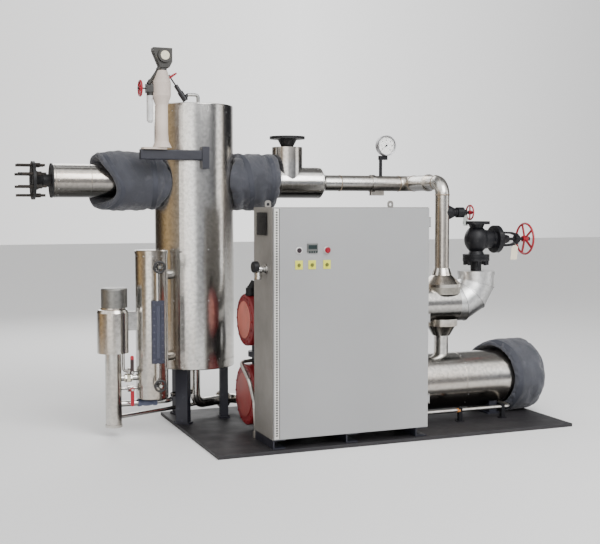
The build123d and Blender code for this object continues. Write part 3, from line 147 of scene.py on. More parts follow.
floor_mesh = bpy.data.meshes.new("studio_floor")
floor_near, floor_far = -6.0, 40.0
floor_corners = ((floor_near, floor_near), (floor_far, floor_near), (floor_far, floor_far),
                 (floor_near, floor_far))
floor_mesh.from_pydata([(x, y, cad_low.z - 0.0005) for x, y in floor_corners], [], [(0, 1, 2, 3)])
floor = bpy.data.objects.new("studio_floor", floor_mesh)
bpy.context.scene.collection.objects.link(floor)


def surface(name, metallic, roughness):
    """Material with one Principled shader, and the pieces needed to build on it."""
    material = bpy.data.materials.new(name)
    material.use_nodes = True
    shader = material.node_tree.nodes["Principled BSDF"]
    shader.inputs["Metallic"].default_value = metallic
    shader.inputs["Roughness"].default_value = roughness
    return material, material.node_tree, shader


floor_material, _, floor_shader = surface("pale_floor", 0.0, 0.75)
floor_shader.inputs["Base Color"].default_value = (0.86, 0.86, 0.86, 1.0)
floor_mesh.materials.append(floor_material)

# Deck plate
# One flat steel plate under everything, painted charcoal. Boots and tools have scuffed the
# paint to a paler grey, and dust lies on it in patches.


def grain(tree, scale, stretch=(1.0, 1.0, 1.0), detail=3.0):
    """Noise on the piece's own coordinates, drawn out along an axis by its stretch."""
    place = put(tree, "ShaderNodeTexCoord").outputs["Object"]
    drawn = put(tree, "ShaderNodeMapping", {"Vector": place, "Scale": stretch})
    return put(
        tree, "ShaderNodeTexNoise", {"Vector": drawn.outputs[0], "Scale": scale, "Detail": detail}
    ).outputs["Fac"]


def blended(tree, factor, under, over, mode="MIX"):
    """One colour laid over another by a factor. Plain tuples are taken as colours."""
    pair = [c if isinstance(c, bpy.types.NodeSocket) else (*c, 1.0) for c in (under, over)]
    return put(
        tree, "ShaderNodeMix", {0: factor, 6: pair[0], 7: pair[1]}, data_type="RGBA", blend_type=mode
    ).outputs[2]


def shaded(tree, colour, cloud, low, high):
    """Colour darkened and lightened by a noise, between two (place, share) stops."""
    return blended(tree, 1.0, colour, ramp(tree, cloud, [low, high]), "MULTIPLY")


def tint(tree, shader, colour):
    """Send a colour to the shader."""
    tree.links.new(colour, shader.inputs["Base Color"])


def roughen(tree, shader, low, high, factor):
    """Roughness that runs between two values with a factor."""
    spread = put(tree, "ShaderNodeMapRange", {"Value": factor, "To Min": low, "To Max": high})
    tree.links.new(spread.outputs["Result"], shader.inputs["Roughness"])


def emboss(tree, shader, *layers):
    """Bump from several (height, distance) layers, one on top of the other."""
    normal = None
    for height_socket, distance in layers:
        sockets = {"Height": height_socket, "Distance": distance, "Strength": 1.0}
        if normal is not None:
            sockets["Normal"] = normal
        normal = put(tree, "ShaderNodeBump", sockets).outputs["Normal"]
    tree.links.new(normal, shader.inputs["Normal"])


def paint_coat(name, colour, worn, roughness=0.45, wear=0.35, metallic=0.0, gloss=0.5):
    """Brushed or sprayed paint: slow shifts of shade, fine orange peel and worn patches."""
    material, tree, shader = surface(name, metallic, roughness)
    coat = shaded(tree, colour, grain(tree, 3.2), (0.30, 0.82), (0.70, 1.12))
    shader.inputs["Specular IOR Level"].default_value = gloss
    patches = ramp(tree, grain(tree, 26.0, detail=8.0), [(0.62, 0.0), (0.72, wear)])
    tint(tree, shader, blended(tree, patches, coat, worn))
    roughen(tree, shader, roughness - 0.08, roughness + 0.14, grain(tree, 18.0))
    emboss(tree, shader, (grain(tree, 14.0), 0.0012), (grain(tree, 420.0), 0.0002))
    return material


def finish_nodes(material, *names):
    """Give CAD nodes their finish."""
    for name in names:
        mesh = nodes[name].data
        mesh.materials.clear()
        mesh.materials.append(material)
        for polygon in mesh.polygons:
            polygon.material_index = 0


deck_paint, deck_tree, deck_shader = surface("deck_paint", 0.0, 0.62)
scuffs = ramp(deck_tree, grain(deck_tree, 5.0, (1.0, 2.6, 1.0), 9.0), [(0.48, 0.0), (0.78, 0.55)])
dusty = ramp(deck_tree, grain(deck_tree, 1.3, detail=5.0), [(0.40, 0.0), (0.75, 0.50)])
deck_colour = blended(deck_tree, scuffs, (0.011, 0.010, 0.012), (0.030, 0.028, 0.030))
tint(deck_tree, deck_shader, blended(deck_tree, dusty, deck_colour, (0.026, 0.024, 0.026)))
roughen(deck_tree, deck_shader, 0.46, 0.74, grain(deck_tree, 9.0))
emboss(deck_tree, deck_shader, (grain(deck_tree, 60.0, detail=6.0), 0.0010))
finish_nodes(deck_paint, "base_plate")

# Vessel
# The upright vessel is lagged and clad in rolled stainless sheet, a little wavy from fitting
# and stained brown by weather and heat. Its courses lap at swaged bands held by pop rivets.


def cladding_steel(name, drawn, stain=0.45, sheen=(0.14, 0.28), tone=(0.66, 0.645, 0.615)):
    """Rolled stainless sheet: waves, a fine mill grain, brown stains and painted shade underneath."""
    material, tree, shader = surface(name, 1.0, sheen[0])
    stretch = tuple(0.10 if axis == drawn else 1.0 for axis in "xyz")
    stains = ramp(tree, grain(tree, 4.5, stretch, 8.0), [(0.47, 0.0), (0.72, stain)])
    colour = blended(tree, stains, tone, tuple(c * s for c, s in zip(tone, (0.62, 0.45, 0.28))))
    colour = shaded(tree, colour, grain(tree, 42.0, detail=9.0), (0.36, 0.84), (0.60, 1.05))
    # Painted shade: faces that point down are darkened, to about a twentieth at the very bottom.
    facing = put(tree, "ShaderNodeSeparateXYZ", {0: put(tree, "ShaderNodeNewGeometry").outputs["Normal"]})
    up = put(
        tree, "ShaderNodeMapRange", {"Value": facing.outputs["Z"], "From Min": -1.0, "From Max": 1.0}
    )
    underside_shade = ramp(tree, up.outputs["Result"], [(0.04, 0.04), (0.26, 0.20), (0.46, 0.86), (0.56, 1.0)])
    tint(tree, shader, blended(tree, 1.0, colour, underside_shade, "MULTIPLY"))
    roughen(tree, shader, sheen[0], sheen[1], grain(tree, 9.0, stretch, 6.0))
    emboss(
        tree, shader, (grain(tree, 2.6, stretch, 1.0), 0.0040),
        (grain(tree, 11.0, detail=2.0), 0.0004), (grain(tree, 380.0), 0.00006),
    )
    return material


def flecked(name, metallic, roughness, scale, low, high):
    """Bare metal whose tone runs between two (place, colour) stops."""
    material, tree, shader = surface(name, metallic, roughness)
    tint(tree, shader, ramp(tree, grain(tree, scale), [low, high]))
    return material, tree, shader


def keep(mesh, name, material, body, sharp=32.0):
    """Put a finished mesh in the scene as a piece of the object that rides on a body."""
    mesh.materials.clear()
    mesh.materials.append(material)
    for polygon in mesh.polygons:
        polygon.use_smooth = True
        polygon.material_index = 0
    mesh.set_sharp_from_angle(angle=math.radians(sharp))
    made = bpy.data.objects.new(name, mesh)
    bpy.context.scene.collection.objects.link(made)
    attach(made, body)
    return made


def closed_piece(shape, name, material, body, sharp=32.0):
    """Turn the faces outwards and keep the shape as a piece."""
    bmesh.ops.recalc_face_normals(shape, faces=shape.faces)
    mesh = bpy.data.meshes.new(name)
    shape.to_mesh(mesh)
    shape.free()
    return keep(mesh, name, material, body, sharp)


def bridge(shape, first, second):
    """Wall of faces between two rings, one of which may be a single point."""
    count = max(len(first), len(second))
    for i in range(count):
        j = (i + 1) % count
        corners = (first[i % len(first)], first[j % len(first)],
                   second[j % len(second)], second[i % len(second)])
        shape.faces.new(tuple(dict.fromkeys(corners)))


def new_tree(name, *inputs):
    """Geometry tree with named inputs, its material input last, and one output."""
    tree = bpy.data.node_groups.new(name, "GeometryNodeTree")
    for label, kind in (("Geometry", "Geometry"), *inputs, ("Finish", "Material")):
        tree.interface.new_socket(label, in_out="INPUT", socket_type=f"NodeSocket{kind}")
    tree.interface.new_socket("Geometry", in_out="OUTPUT", socket_type="NodeSocketGeometry")
    return tree, put(tree, "NodeGroupInput").outputs


def spaced_points(tree, given):
    """Points every pitch along the edges of the mesh that comes in."""
    line = put(tree, "GeometryNodeMeshToCurve", {"Mesh": given["Geometry"]})
    return put(
        tree, "GeometryNodeResampleCurve",
        {"Curve": line.outputs["Curve"], "Length": given["Pitch"]}, mode="LENGTH",
    ).outputs["Curve"]


def send_out(tree, geometry, given):
    """Make the instances real, give them their material and send them out."""
    solid = put(tree, "GeometryNodeRealizeInstances", {"Geometry": geometry}).outputs["Geometry"]
    dressed = put(tree, "GeometryNodeSetMaterial", {"Geometry": solid, "Material": given["Finish"]})
    put(tree, "NodeGroupOutput", {"Geometry": dressed.outputs["Geometry"]})
    return tree


def rivet_tree():
    """Domed heads set every so far along the edges of a mesh, standing off an axis."""
    tree, given = new_tree(
        "rivet_row", ("Pitch", "Float"), ("Head Size", "Vector"), ("Axis Place", "Vector"),
        ("Axis Direction", "Vector"), ("Facets", "Int"),
    )

    def vector(kind, first, second):
        return put(tree, "ShaderNodeVectorMath", {0: first, 1: second}, operation=kind).outputs["Vector"]

    here = put(tree, "GeometryNodeInputPosition").outputs["Position"]
    arm = vector("SUBTRACT", here, given["Axis Place"])
    outward = vector("SUBTRACT", arm, vector("PROJECT", arm, given["Axis Direction"]))
    stand = put(tree, "FunctionNodeAlignRotationToVector", {"Vector": outward}, axis="Z")
    head = put(
        tree, "GeometryNodeMeshUVSphere", {"Segments": given["Facets"], "Rings": 5, "Radius": 1.0}
    )
    heads = put(tree, "GeometryNodeInstanceOnPoints", {
        "Points": spaced_points(tree, given), "Instance": head.outputs["Mesh"],
        "Rotation": stand.outputs["Rotation"], "Scale": given["Head Size"],
    })
    return send_out(tree, heads.outputs["Instances"], given)


def baked(host):
    """The object's mesh with its modifiers applied."""
    return bpy.data.meshes.new_from_object(
        host.evaluated_get(bpy.context.evaluated_depsgraph_get())
    )


def grown(mesh, name, tree, values, body):
    """Run a mesh through a node tree with named inputs and keep the result as a plain mesh."""
    host = bpy.data.objects.new(name, mesh)
    bpy.context.scene.collection.objects.link(host)
    modifier = host.modifiers.new("grown", "NODES")
    modifier.node_group = tree
    for item in tree.interface.items_tree:
        if item.in_out == "INPUT" and item.name in values:
            modifier[item.identifier] = values[item.name]
    made = baked(host)
    bpy.data.objects.remove(host)
    return keep(made, name, values["Finish"], body, 40.0)


def ring_edges(places, closed=True):
    """Mesh of edges through a run of points, given as one list for each run."""
    mesh = bpy.data.meshes.new("line")
    points = []
    edges = []
    for run in places:
        first = len(points)
        points.extend(run)
        edges.extend((first + i, first + i + 1) for i in range(len(run) - 1))
        if closed:
            edges.append((first + len(run) - 1, first))
    mesh.from_pydata(points, edges, [])
    return mesh


vessel_steel = cladding_steel("vessel_cladding", "z", 0.62)
rivet_steel = flecked("rivet_steel", 1.0, 0.34, 60.0, (0.3, 0.32), (0.7, 0.62))[0]
finish_nodes(vessel_steel, "vessel_shell", "vessel_top", "vessel_bottom", "vessel_drain_pipe")
rivet_row = rivet_tree()
rivet_size = (0.0042, 0.0042, 0.0022)
upward = (0, 0, 1)
rightward = (1, 0, 0)


def rivets(name, runs, pitch, place, direction, facets=8, size=rivet_size, finish=rivet_steel,
           closed=True):
    """Rows of rivets along runs of points, standing off the axis through a place."""
    values = {
        "Pitch": pitch, "Head Size": size, "Axis Place": place, "Axis Direction": direction,
        "Facets": facets, "Finish": finish,
    }
    grown(ring_edges(runs, closed), name, rivet_row, values, "skid")


def upright_ring(centre, radius, height, count=48):
    """Points of a level ring round an upright axis."""
    turns = [2 * math.pi * i / count for i in range(count)]
    return [(centre.x + radius * math.cos(t), centre.y + radius * math.sin(t), height) for t in turns]


vessel_low, vessel_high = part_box("vessel_shell")
vessel_centre = (vessel_low + vessel_high) / 2
band_rise = 0.0025
vessel_radius = (vessel_high.x - vessel_low.x) / 2 - band_rise
band_gap = 0.024
rivets(
    "vessel_ring_rivets",
    [
        upright_ring(vessel_centre, vessel_radius, z)
        for z in (0.505 + band_gap, 0.956 + band_gap, 1.346 + band_gap, vessel_high.z - 0.050)
    ],
    0.095, vessel_centre, upward, 10,
)
lap_bearing = math.radians(236.0)
lap_outward = Vector((math.cos(lap_bearing), math.sin(lap_bearing), 0))
lap_foot = vessel_centre + lap_outward * vessel_radius
lap_run = [Vector((lap_foot.x, lap_foot.y, z)) for z in (vessel_low.z + 0.008, vessel_high.z - 0.012)]
lap_side = Vector(upward).cross(lap_outward)
half_lap, lap_rise, lap_root = 0.017, 0.0016, -0.004
lap_profile = ((-half_lap, lap_root), (lap_rise - half_lap, lap_rise), (half_lap, 0.0004),
               (half_lap, lap_root))
lap = bmesh.new()
lap_ends = [
    [lap.verts.new(end + lap_side * s + lap_outward * h) for s, h in lap_profile] for end in lap_run
]
bridge(lap, *lap_ends)
lap.faces.new(lap_ends[0][::-1])
lap.faces.new(lap_ends[1])
closed_piece(lap, "vessel_lap", vessel_steel, "skid")
rivets(
    "vessel_lap_rivets", [lap_run], 0.11, vessel_centre, upward, 10, closed=False
)

# Vessel legs, saddles, arm and cabinet feet
# Folded and welded plate, all sprayed the same dark blue-grey, with bare nicks at the edges
# and dust where the feet meet the deck.
leg_paint = paint_coat("leg_paint", (0.014, 0.015, 0.024), (0.08, 0.08, 0.10), 0.42, 0.30)
finish_nodes(
    leg_paint, "vessel_legs", "heater_saddles", "channel_link", "transmitter_arm", "cabinet_feet"
)


def turned(shape, outline, base, axis, steps=40, loop=False):
    """Turn an outline of (radius, distance along) round an axis. Radius 0 closes to a point."""
    axis = Vector(axis).normalized()
    side = axis.orthogonal().normalized()
    other = axis.cross(side)
    turns = [2 * math.pi * i / steps for i in range(steps)]
    spokes = [side * math.cos(t) + other * math.sin(t) for t in turns]
    rings = []
    for radius, reach in outline:
        middle = Vector(base) + axis * reach
        points = [middle + spoke * radius for spoke in spokes] if radius else [middle]
        rings.append([shape.verts.new(point) for point in points])
    for first, second in zip(rings, rings[1:] + rings[:1] if loop else rings[1:]):
        bridge(shape, first, second)


def turned_piece(name, material, body, slot, *solids, sharp=32.0):
    """Piece of one or more turned solids, each given as turned takes it."""
    shape = bmesh.new()
    for solid in solids:
        turned(shape, *solid)
    return closed_piece(shape, name, material, body, sharp)


def eased_block(shape, low, high, edge):
    """Box between two corners with its edges rounded over."""
    made = bmesh.ops.create_cube(shape, size=1.0)
    low, high = Vector(low), Vector(high)
    for vert in made["verts"]:
        vert.co = Vector(((low[k] + high[k]) / 2 + vert.co[k] * (high[k] - low[k]) for k in range(3)))
    edges = list({e for v in made["verts"] for e in v.link_edges})
    bmesh.ops.bevel(shape, geom=edges, offset=edge, segments=2, affect="EDGES", profile=0.6)


def block_piece(name, material, body, slot, *blocks):
    """Piece of one or more eased blocks, each given as two corners and an edge."""
    shape = bmesh.new()
    for block in blocks:
        eased_block(shape, *block)
    return closed_piece(shape, name, material, body)


oiled_steel = paint_coat(
    "oiled_steel", (0.014, 0.014, 0.015), (0.090, 0.066, 0.05), 0.44, 0.40, 0.10, 0.3
)
foot_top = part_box("base_plate")[1].z + 0.012
bolt_reach, bolt_aside = 0.225 + 0.034, 0.058
anchor_outline = [(0, 0), (0.0068, 0), (0.0068, 0.006), (0.0035, 0.0065), (0.0035, 0.011), (0, 0.0115)]
anchors = []
for leg in range(3):
    leg_bearing = math.radians(120.0 * leg - 10.7)
    out = Vector((math.cos(leg_bearing), math.sin(leg_bearing), 0))
    for hand in (-1, 1):
        at = vessel_centre + out * bolt_reach + Vector((-out.y, out.x, 0)) * hand * bolt_aside
        anchors.append((anchor_outline, (at.x, at.y, foot_top), upward, 6))
turned_piece("leg_foot_bolts", oiled_steel, "skid", "flange_steel", *anchors)

# Insulation jackets
# Removable jackets of coated glass cloth, stuffed with wool and laced round the pipe stubs and
# the heater's end. Webbing straps pull them in, and the cloth buckles into folds between.
jacket_cloth, cloth_tree, cloth_shader = surface("jacket_cloth", 0.0, 0.72)
weave_place = put(cloth_tree, "ShaderNodeTexCoord").outputs["Object"]
warp, weft = (
    put(
        cloth_tree, "ShaderNodeTexWave", {"Vector": weave_place, "Scale": 190.0, "Distortion": 0.6},
        bands_direction=way,
    ).outputs["Fac"]
    for way in ("X", "DIAGONAL")
)
cloth_colour = shaded(
    cloth_tree, (0.050, 0.053, 0.067), grain(cloth_tree, 7.0, detail=6.0), (0.30, 0.74), (0.72, 1.18)
)
chalk = ramp(cloth_tree, grain(cloth_tree, 16.0, detail=9.0), [(0.60, 0.0), (0.80, 0.30)])
tint(cloth_tree, cloth_shader, blended(cloth_tree, chalk, cloth_colour, (0.20, 0.20, 0.22)))
cloth_shader.inputs["Sheen Weight"].default_value = 0.25
cloth_shader.inputs["Sheen Roughness"].default_value = 0.4
emboss(
    cloth_tree, cloth_shader, (grain(cloth_tree, 22.0, detail=4.0), 0.0030), (warp, 0.0004),
    (weft, 0.0004),
)


def wrap_point(axis_place, turn_angle, radius, x):
    """Point round a level axis: turn 0 faces the front and a quarter turn is the top."""
    return Vector(
        (x, axis_place[0] - radius * math.cos(turn_angle), axis_place[1] + radius * math.sin(turn_angle))
    )


def folded_radius(radius, share, turn_angle, x, seed, cinches, depth):
    """Jacket radius: full between the straps, pulled in under them, with slack folds."""
    pull = sum(math.exp(-(((share - cinch) / 0.055) ** 2)) for cinch in cinches)
    place = Vector((x * 5.0, math.cos(turn_angle) * 2.1, math.sin(turn_angle) * 2.1))
    slow = noise.noise(place + Vector((seed, 0, 0)))
    drawn_place = Vector((x * 16.0, math.cos(turn_angle - x) * 2.6, math.sin(turn_angle - x) * 2.6))
    ripple = 1 - abs(noise.noise(drawn_place + Vector((0, seed, 0)))) * 2.4
    crown = 1 - (2 * share - 1) ** 6
    return radius * (0.955 + 0.03 * crown) + depth * (0.5 * slow + 0.42 * ripple) - 0.012 * min(pull, 1.0)


dome_stop = 1.303


def wrap_mesh(axis_place, left_edge, right_edge, radius, inner, seed, cinches, depth, dome=0.0,
              open_lip=False):
    """Closed padded wrap. Its left mouth, and its right one unless domed, fold in to the pipe."""
    around, rows = 112, 44
    shape = bmesh.new()

    def ring_at(place_of):
        return [shape.verts.new(place_of(2 * math.pi * i / around)) for i in range(around)]

    def middle_of(ring):
        return sum((v.co for v in ring), Vector()) / around

    rings = []
    for row in range(rows + 1):
        share = row / rows

        def outer(turn_angle, share=share):
            left, right = left_edge(turn_angle), right_edge(turn_angle)
            x = left + (right - left) * share
            full = folded_radius(radius, share, turn_angle, x, seed, cinches, depth)
            lip = min(share / 0.05, 1.0) if dome else min(share / 0.05, (1 - share) / 0.05, 1.0)
            full -= 0.016 * (1 - math.sin(lip * math.pi / 2))
            if dome and x > right - dome:
                over = (x - right + dome) / dome
                full -= dome * (1 - math.sqrt(max(1 - over * over, 0.0)))
            return wrap_point(axis_place, turn_angle, full, x)

        rings.append(ring_at(outer))
    if dome:
        rim = [v.co.copy() for v in rings[rows]]
        middle = middle_of(rings[rows])
        for share in (0.72, 0.45, 0.2):
            swell = Vector((0.004 * (1 - share), 0, 0))
            rings.append([shape.verts.new(middle.lerp(point, share) + swell) for point in rim])
        bridge(shape, rings[-1], [shape.verts.new(middle_of(rings[-1]))])
    lip_depth = {0.14: 0.62, 0.0: 1.0}
    inside = []
    for share in (1.0, 0.70, 0.42, 0.30, 0.14, 0.0):

        def lining(turn_angle, share=share):
            left, right = left_edge(turn_angle), right_edge(turn_angle)
            stop = min(right, dome_stop) if dome else right
            x = left + (stop - left) * share
            tuck = -0.012 if share == 1.0 and not dome else 0.0
            open_to = radius - 0.034 if open_lip else inner + 0.004
            lining_radius = inner + (open_to - inner) * lip_depth.get(share, 0.0)
            return wrap_point(axis_place, turn_angle, lining_radius, x + tuck)

        inside.append(ring_at(lining))
    if dome:
        bridge(shape, inside[0], [shape.verts.new(middle_of(inside[0]))])
    else:
        bridge(shape, rings[rows], inside[0])
    for chain in (rings, inside, (rings[0], inside[-1])):
        for first, second in zip(chain, chain[1:]):
            bridge(shape, first, second)
    bmesh.ops.recalc_face_normals(shape, faces=shape.faces)
    mesh = bpy.data.meshes.new("wrap")
    shape.to_mesh(mesh)
    shape.free()
    return mesh


def padded_wrap(name, mesh, node, axis_place, inner, cap):
    """Stuff the wrap: remesh, blow it up as cloth held at its lining, cap the move and smooth."""
    made = keep(mesh, name, jacket_cloth, "skid", 60.0)
    made.parent = None
    bpy.context.view_layer.objects.active = made
    remesh = made.modifiers.new("even", "REMESH")
    remesh.mode = "VOXEL"
    remesh.voxel_size = 0.010
    even = baked(made)
    made.modifiers.clear()
    made.data = even
    start = [v.co.copy() for v in even.vertices]
    held = made.vertex_groups.new(name="held")
    for vert in even.vertices:
        out = math.hypot(vert.co.y - axis_place[0], vert.co.z - axis_place[1])
        if out < inner + 0.022:
            held.add([vert.index], 1.0, "REPLACE")
    cloth = made.modifiers.new("stuffing", "CLOTH")
    cloth.settings.quality = 5
    cloth.settings.mass = 0.4
    cloth.settings.tension_stiffness = 12.0
    cloth.settings.compression_stiffness = 12.0
    cloth.settings.bending_stiffness = 0.6
    cloth.settings.use_pressure = True
    cloth.settings.uniform_pressure_force = 3.0
    cloth.settings.shrink_min = -0.07
    cloth.settings.vertex_group_mass = "held"
    cloth.settings.effector_weights.gravity = 0.0
    cloth.point_cache.frame_start = 1
    cloth.point_cache.frame_end = 20
    for moment in range(1, 21):
        bpy.context.scene.frame_set(moment)
    blown = baked(made)
    bpy.context.scene.frame_set(1)
    made.modifiers.clear()
    for vert, origin in zip(blown.vertices, start):
        move = vert.co - origin
        if move.length > cap:
            vert.co = origin + move.normalized() * cap
    made.data = blown
    made.vertex_groups.clear()
    smooth = made.modifiers.new("soft", "SUBSURF")
    smooth.levels = 1
    smooth.render_levels = 1
    final = baked(made)
    made.modifiers.clear()
    for vert in final.vertices:
        off = Vector((vert.co.x - vessel_centre.x, vert.co.y - vessel_centre.y))
        if off.length < vessel_radius + 0.003:
            off = off.normalized() * (vessel_radius + 0.003)
            vert.co.x, vert.co.y = vessel_centre.x + off.x, vessel_centre.y + off.y
    made.data = final
    final.materials.clear()
    final.materials.append(jacket_cloth)
    for polygon in final.polygons:
        polygon.use_smooth = True
        polygon.material_index = 0
    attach(made, "skid")
    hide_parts(node)
    return made


def vessel_edge(axis_place, radius, hand):
    """Where a wrap's rim meets the vessel wall, for each turn round the pipe."""
    def edge(turn_angle):
        y = axis_place[0] - radius * math.cos(turn_angle)
        reach = math.sqrt(max((vessel_radius + 0.004) ** 2 - (y - vessel_centre.y) ** 2, 0.0))
        return vessel_centre.x + hand * reach
    return edge


outlet_low, outlet_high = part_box("outlet_cladding")
header_axis = (vessel_centre.y, (outlet_low.z + outlet_high.z) / 2)
cladding_radius = (outlet_high.z - outlet_low.z) / 2
jacket_low, jacket_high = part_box("outlet_jacket")
outlet_wrap_radius = (jacket_high.z - jacket_low.z) / 2
mouth_far = jacket_low.x - 0.012
mouth_notch = 0.122
notch_turn = math.radians(-25.0)
notch_width = math.radians(52.0)


def outlet_mouth(turn_angle):
    """The mouth is cut back in a notch low on the front, and its back lip reaches far along."""
    gap = math.remainder(turn_angle - notch_turn, 2 * math.pi) / notch_width
    return mouth_far + mouth_notch * math.exp(-gap * gap) + 0.030 * min(math.cos(turn_angle), 0.0)


outlet_wrap = padded_wrap(
    "outlet_wrap",
    wrap_mesh(
        header_axis, outlet_mouth, vessel_edge(header_axis, outlet_wrap_radius, -1),
        outlet_wrap_radius, cladding_radius - 0.006, 3.1, (0.12, 0.84), 0.020, open_lip=True,
    ),
    "outlet_jacket", header_axis, cladding_radius, 0.022,
)
cross_low, cross_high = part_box("crossover_jacket")
cross_radius = (cross_high.z - cross_low.z) / 2


def cross_rim(turn_angle):
    """Right rim of the crossover wrap, a little further along at the top."""
    return cross_high.x - 0.012 + 0.010 * math.sin(turn_angle)


crossover_wrap = padded_wrap(
    "crossover_wrap",
    wrap_mesh(
        header_axis, vessel_edge(header_axis, cross_radius, 1), cross_rim,
        cross_radius, 0.110, 7.7, (0.26, 0.72), 0.018,
    ),
    "crossover_jacket", header_axis, 0.110, 0.022,
)
end_low, end_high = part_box("heater_end_jacket")
end_radius = (end_high.z - end_low.z) / 2
heater_y = (end_low.y + end_high.y) / 2
end_axis = (heater_y, (end_low.z + end_high.z) / 2)
shell_radius = 0.225
mouth_front, mouth_back = 1.195, 1.040


def end_mouth(turn_angle):
    """The heater wrap's mouth runs from far right at the front to further left at the back."""
    return (mouth_front + mouth_back) / 2 + (mouth_front - mouth_back) / 2 * math.cos(turn_angle)


heater_wrap = padded_wrap(
    "heater_end_wrap",
    wrap_mesh(
        end_axis, end_mouth, lambda turn_angle: end_high.x - 0.004,
        end_radius, shell_radius + 0.022, 12.4, (0.10, 0.86), 0.014, 0.095, open_lip=True,
    ),
    "heater_end_jacket", end_axis, shell_radius + 0.004, 0.020,
)


def slanted(middle, lean, phase):
    """A strap's place along the pipe for each turn, leaning over by so much."""
    return lambda turn_angle: middle + lean * math.cos(turn_angle - phase)


def ring_of_rows(shape, rows):
    """Close a ring of cross sections into one solid."""
    made = [[shape.verts.new(point) for point in row] for row in rows]
    for i, row in enumerate(made):
        bridge(shape, row, made[(i + 1) % len(made)])


strap_cloth = paint_coat("strap_webbing", (0.036, 0.039, 0.052), (0.12, 0.12, 0.14), 0.7, 0.25)
strap_lift, strap_thickness, strap_turns, strap_reach = 0.0006, 0.0028, 96, 0.55
for strap_name, wrap, axis_place, x_of, width in (
    ("outlet_strap_left", outlet_wrap, header_axis, lambda t: outlet_mouth(t) + 0.045, 0.034),
    ("outlet_strap_right", outlet_wrap, header_axis,
     slanted(vessel_centre.x - vessel_radius - 0.045, -0.012, 0.4), 0.038),
    ("crossover_strap_left", crossover_wrap, header_axis,
     slanted(vessel_centre.x + vessel_radius + 0.105, -0.040, 1.1), 0.040),
    ("crossover_strap_right", crossover_wrap, header_axis,
     slanted(cross_high.x - 0.085, 0.012, 0.9), 0.034),
    ("heater_wrap_strap", heater_wrap, end_axis, lambda t: end_mouth(t) + 0.040, 0.036),
):
    wrap_tree = BVHTree.FromPolygons(
        [v.co for v in wrap.data.vertices], [p.vertices for p in wrap.data.polygons]
    )
    rows = []
    for i in range(strap_turns):
        t = 2 * math.pi * i / strap_turns
        inward = wrap_point(axis_place, t, 0, 0) - wrap_point(axis_place, t, 1.0, 0)
        row = []
        for side in (-0.5, 0.5):
            origin = wrap_point(axis_place, t, strap_reach, x_of(t) + side * width)
            hit = wrap_tree.ray_cast(origin, inward)[0] or origin + inward * (strap_reach - 0.2)
            row.append((hit - inward * strap_lift, hit - inward * (strap_lift + strap_thickness)))
        rows.append([row[0][0], row[0][1], row[1][1], row[1][0]])
    for _ in range(3):
        rows = [
            [(rows[i - 1][k] + rows[i][k] * 2 + rows[(i + 1) % strap_turns][k]) / 4 for k in range(4)]
            for i in range(strap_turns)
        ]
    strap = bmesh.new()
    ring_of_rows(strap, rows)
    closed_piece(strap, strap_name, strap_cloth, "skid", 50.0)

# Outlet pipe and flange
# The outlet stub is lagged and clad in bright sheet with rolled edges, and ends in a forged
# weld-neck flange. Eight long studs with heavy nuts wait for the next pipe.
level_steel = cladding_steel("level_cladding", "x", 0.50)
pipe_steel = cladding_steel("pipe_steel", "x", 0.55, (0.22, 0.34))
finish_nodes(level_steel, "outlet_cladding", "tee_cladding")
sleeve_end = 0.190
turned_piece("outlet_sleeve", level_steel, "skid", "pipe_cladding", (
    [(0, 0), (cladding_radius, 0), (cladding_radius, sleeve_end), (0, sleeve_end)],
    (outlet_high.x - 0.002, *header_axis), rightward, 72,
))
finish_nodes(oiled_steel, "outlet_flange", "relief_flange")
stud_steel, stud_tree, stud_shader = flecked(
    "stud_steel", 0.45, 0.46, 40.0, (0.35, (0.014, 0.013, 0.012)), (0.75, (0.055, 0.042, 0.034))
)
stud_place = put(stud_tree, "ShaderNodeTexCoord").outputs["Object"]
threads = put(
    stud_tree, "ShaderNodeTexWave", {"Vector": stud_place, "Scale": 64.0}, bands_direction="X"
)
emboss(stud_tree, stud_shader, (threads.outputs["Fac"], 0.0010))
finish_nodes(stud_steel, "outlet_studs")


def level_ring(axis_place, radius, x, count=40):
    """Points of an upright ring round a level axis."""
    return [wrap_point(axis_place, 2 * math.pi * i / count, radius, x) for i in range(count)]


def bead(centre, axis, radius, size=0.0036, length=1.4, steps=56, facets=8):
    """Round bead of metal round an axis, as turned takes it."""
    turns = [2 * math.pi * i / facets for i in range(facets)]
    outline = [(radius + size * math.sin(t), size * length * math.cos(t)) for t in turns]
    return outline, centre, axis, steps, True


tee_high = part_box("tee_cladding")[1]
turned_piece(
    "header_cladding_beads", level_steel, "skid", "pipe_cladding",
    *(
        bead((x, *header_axis), rightward, cladding_radius - 0.001, 0.0032, 1.0, 64)
        for x in (outlet_low.x + 0.016, outlet_high.x - 0.060, tee_high.x - 0.052, cross_high.x + 0.030)
    ),
    sharp=60.0,
)
rivets(
    "header_cladding_rivets",
    [level_ring(header_axis, cladding_radius, x) for x in (outlet_low.x + 0.034, tee_high.x - 0.074)],
    0.070, (0, *header_axis), rightward,
)

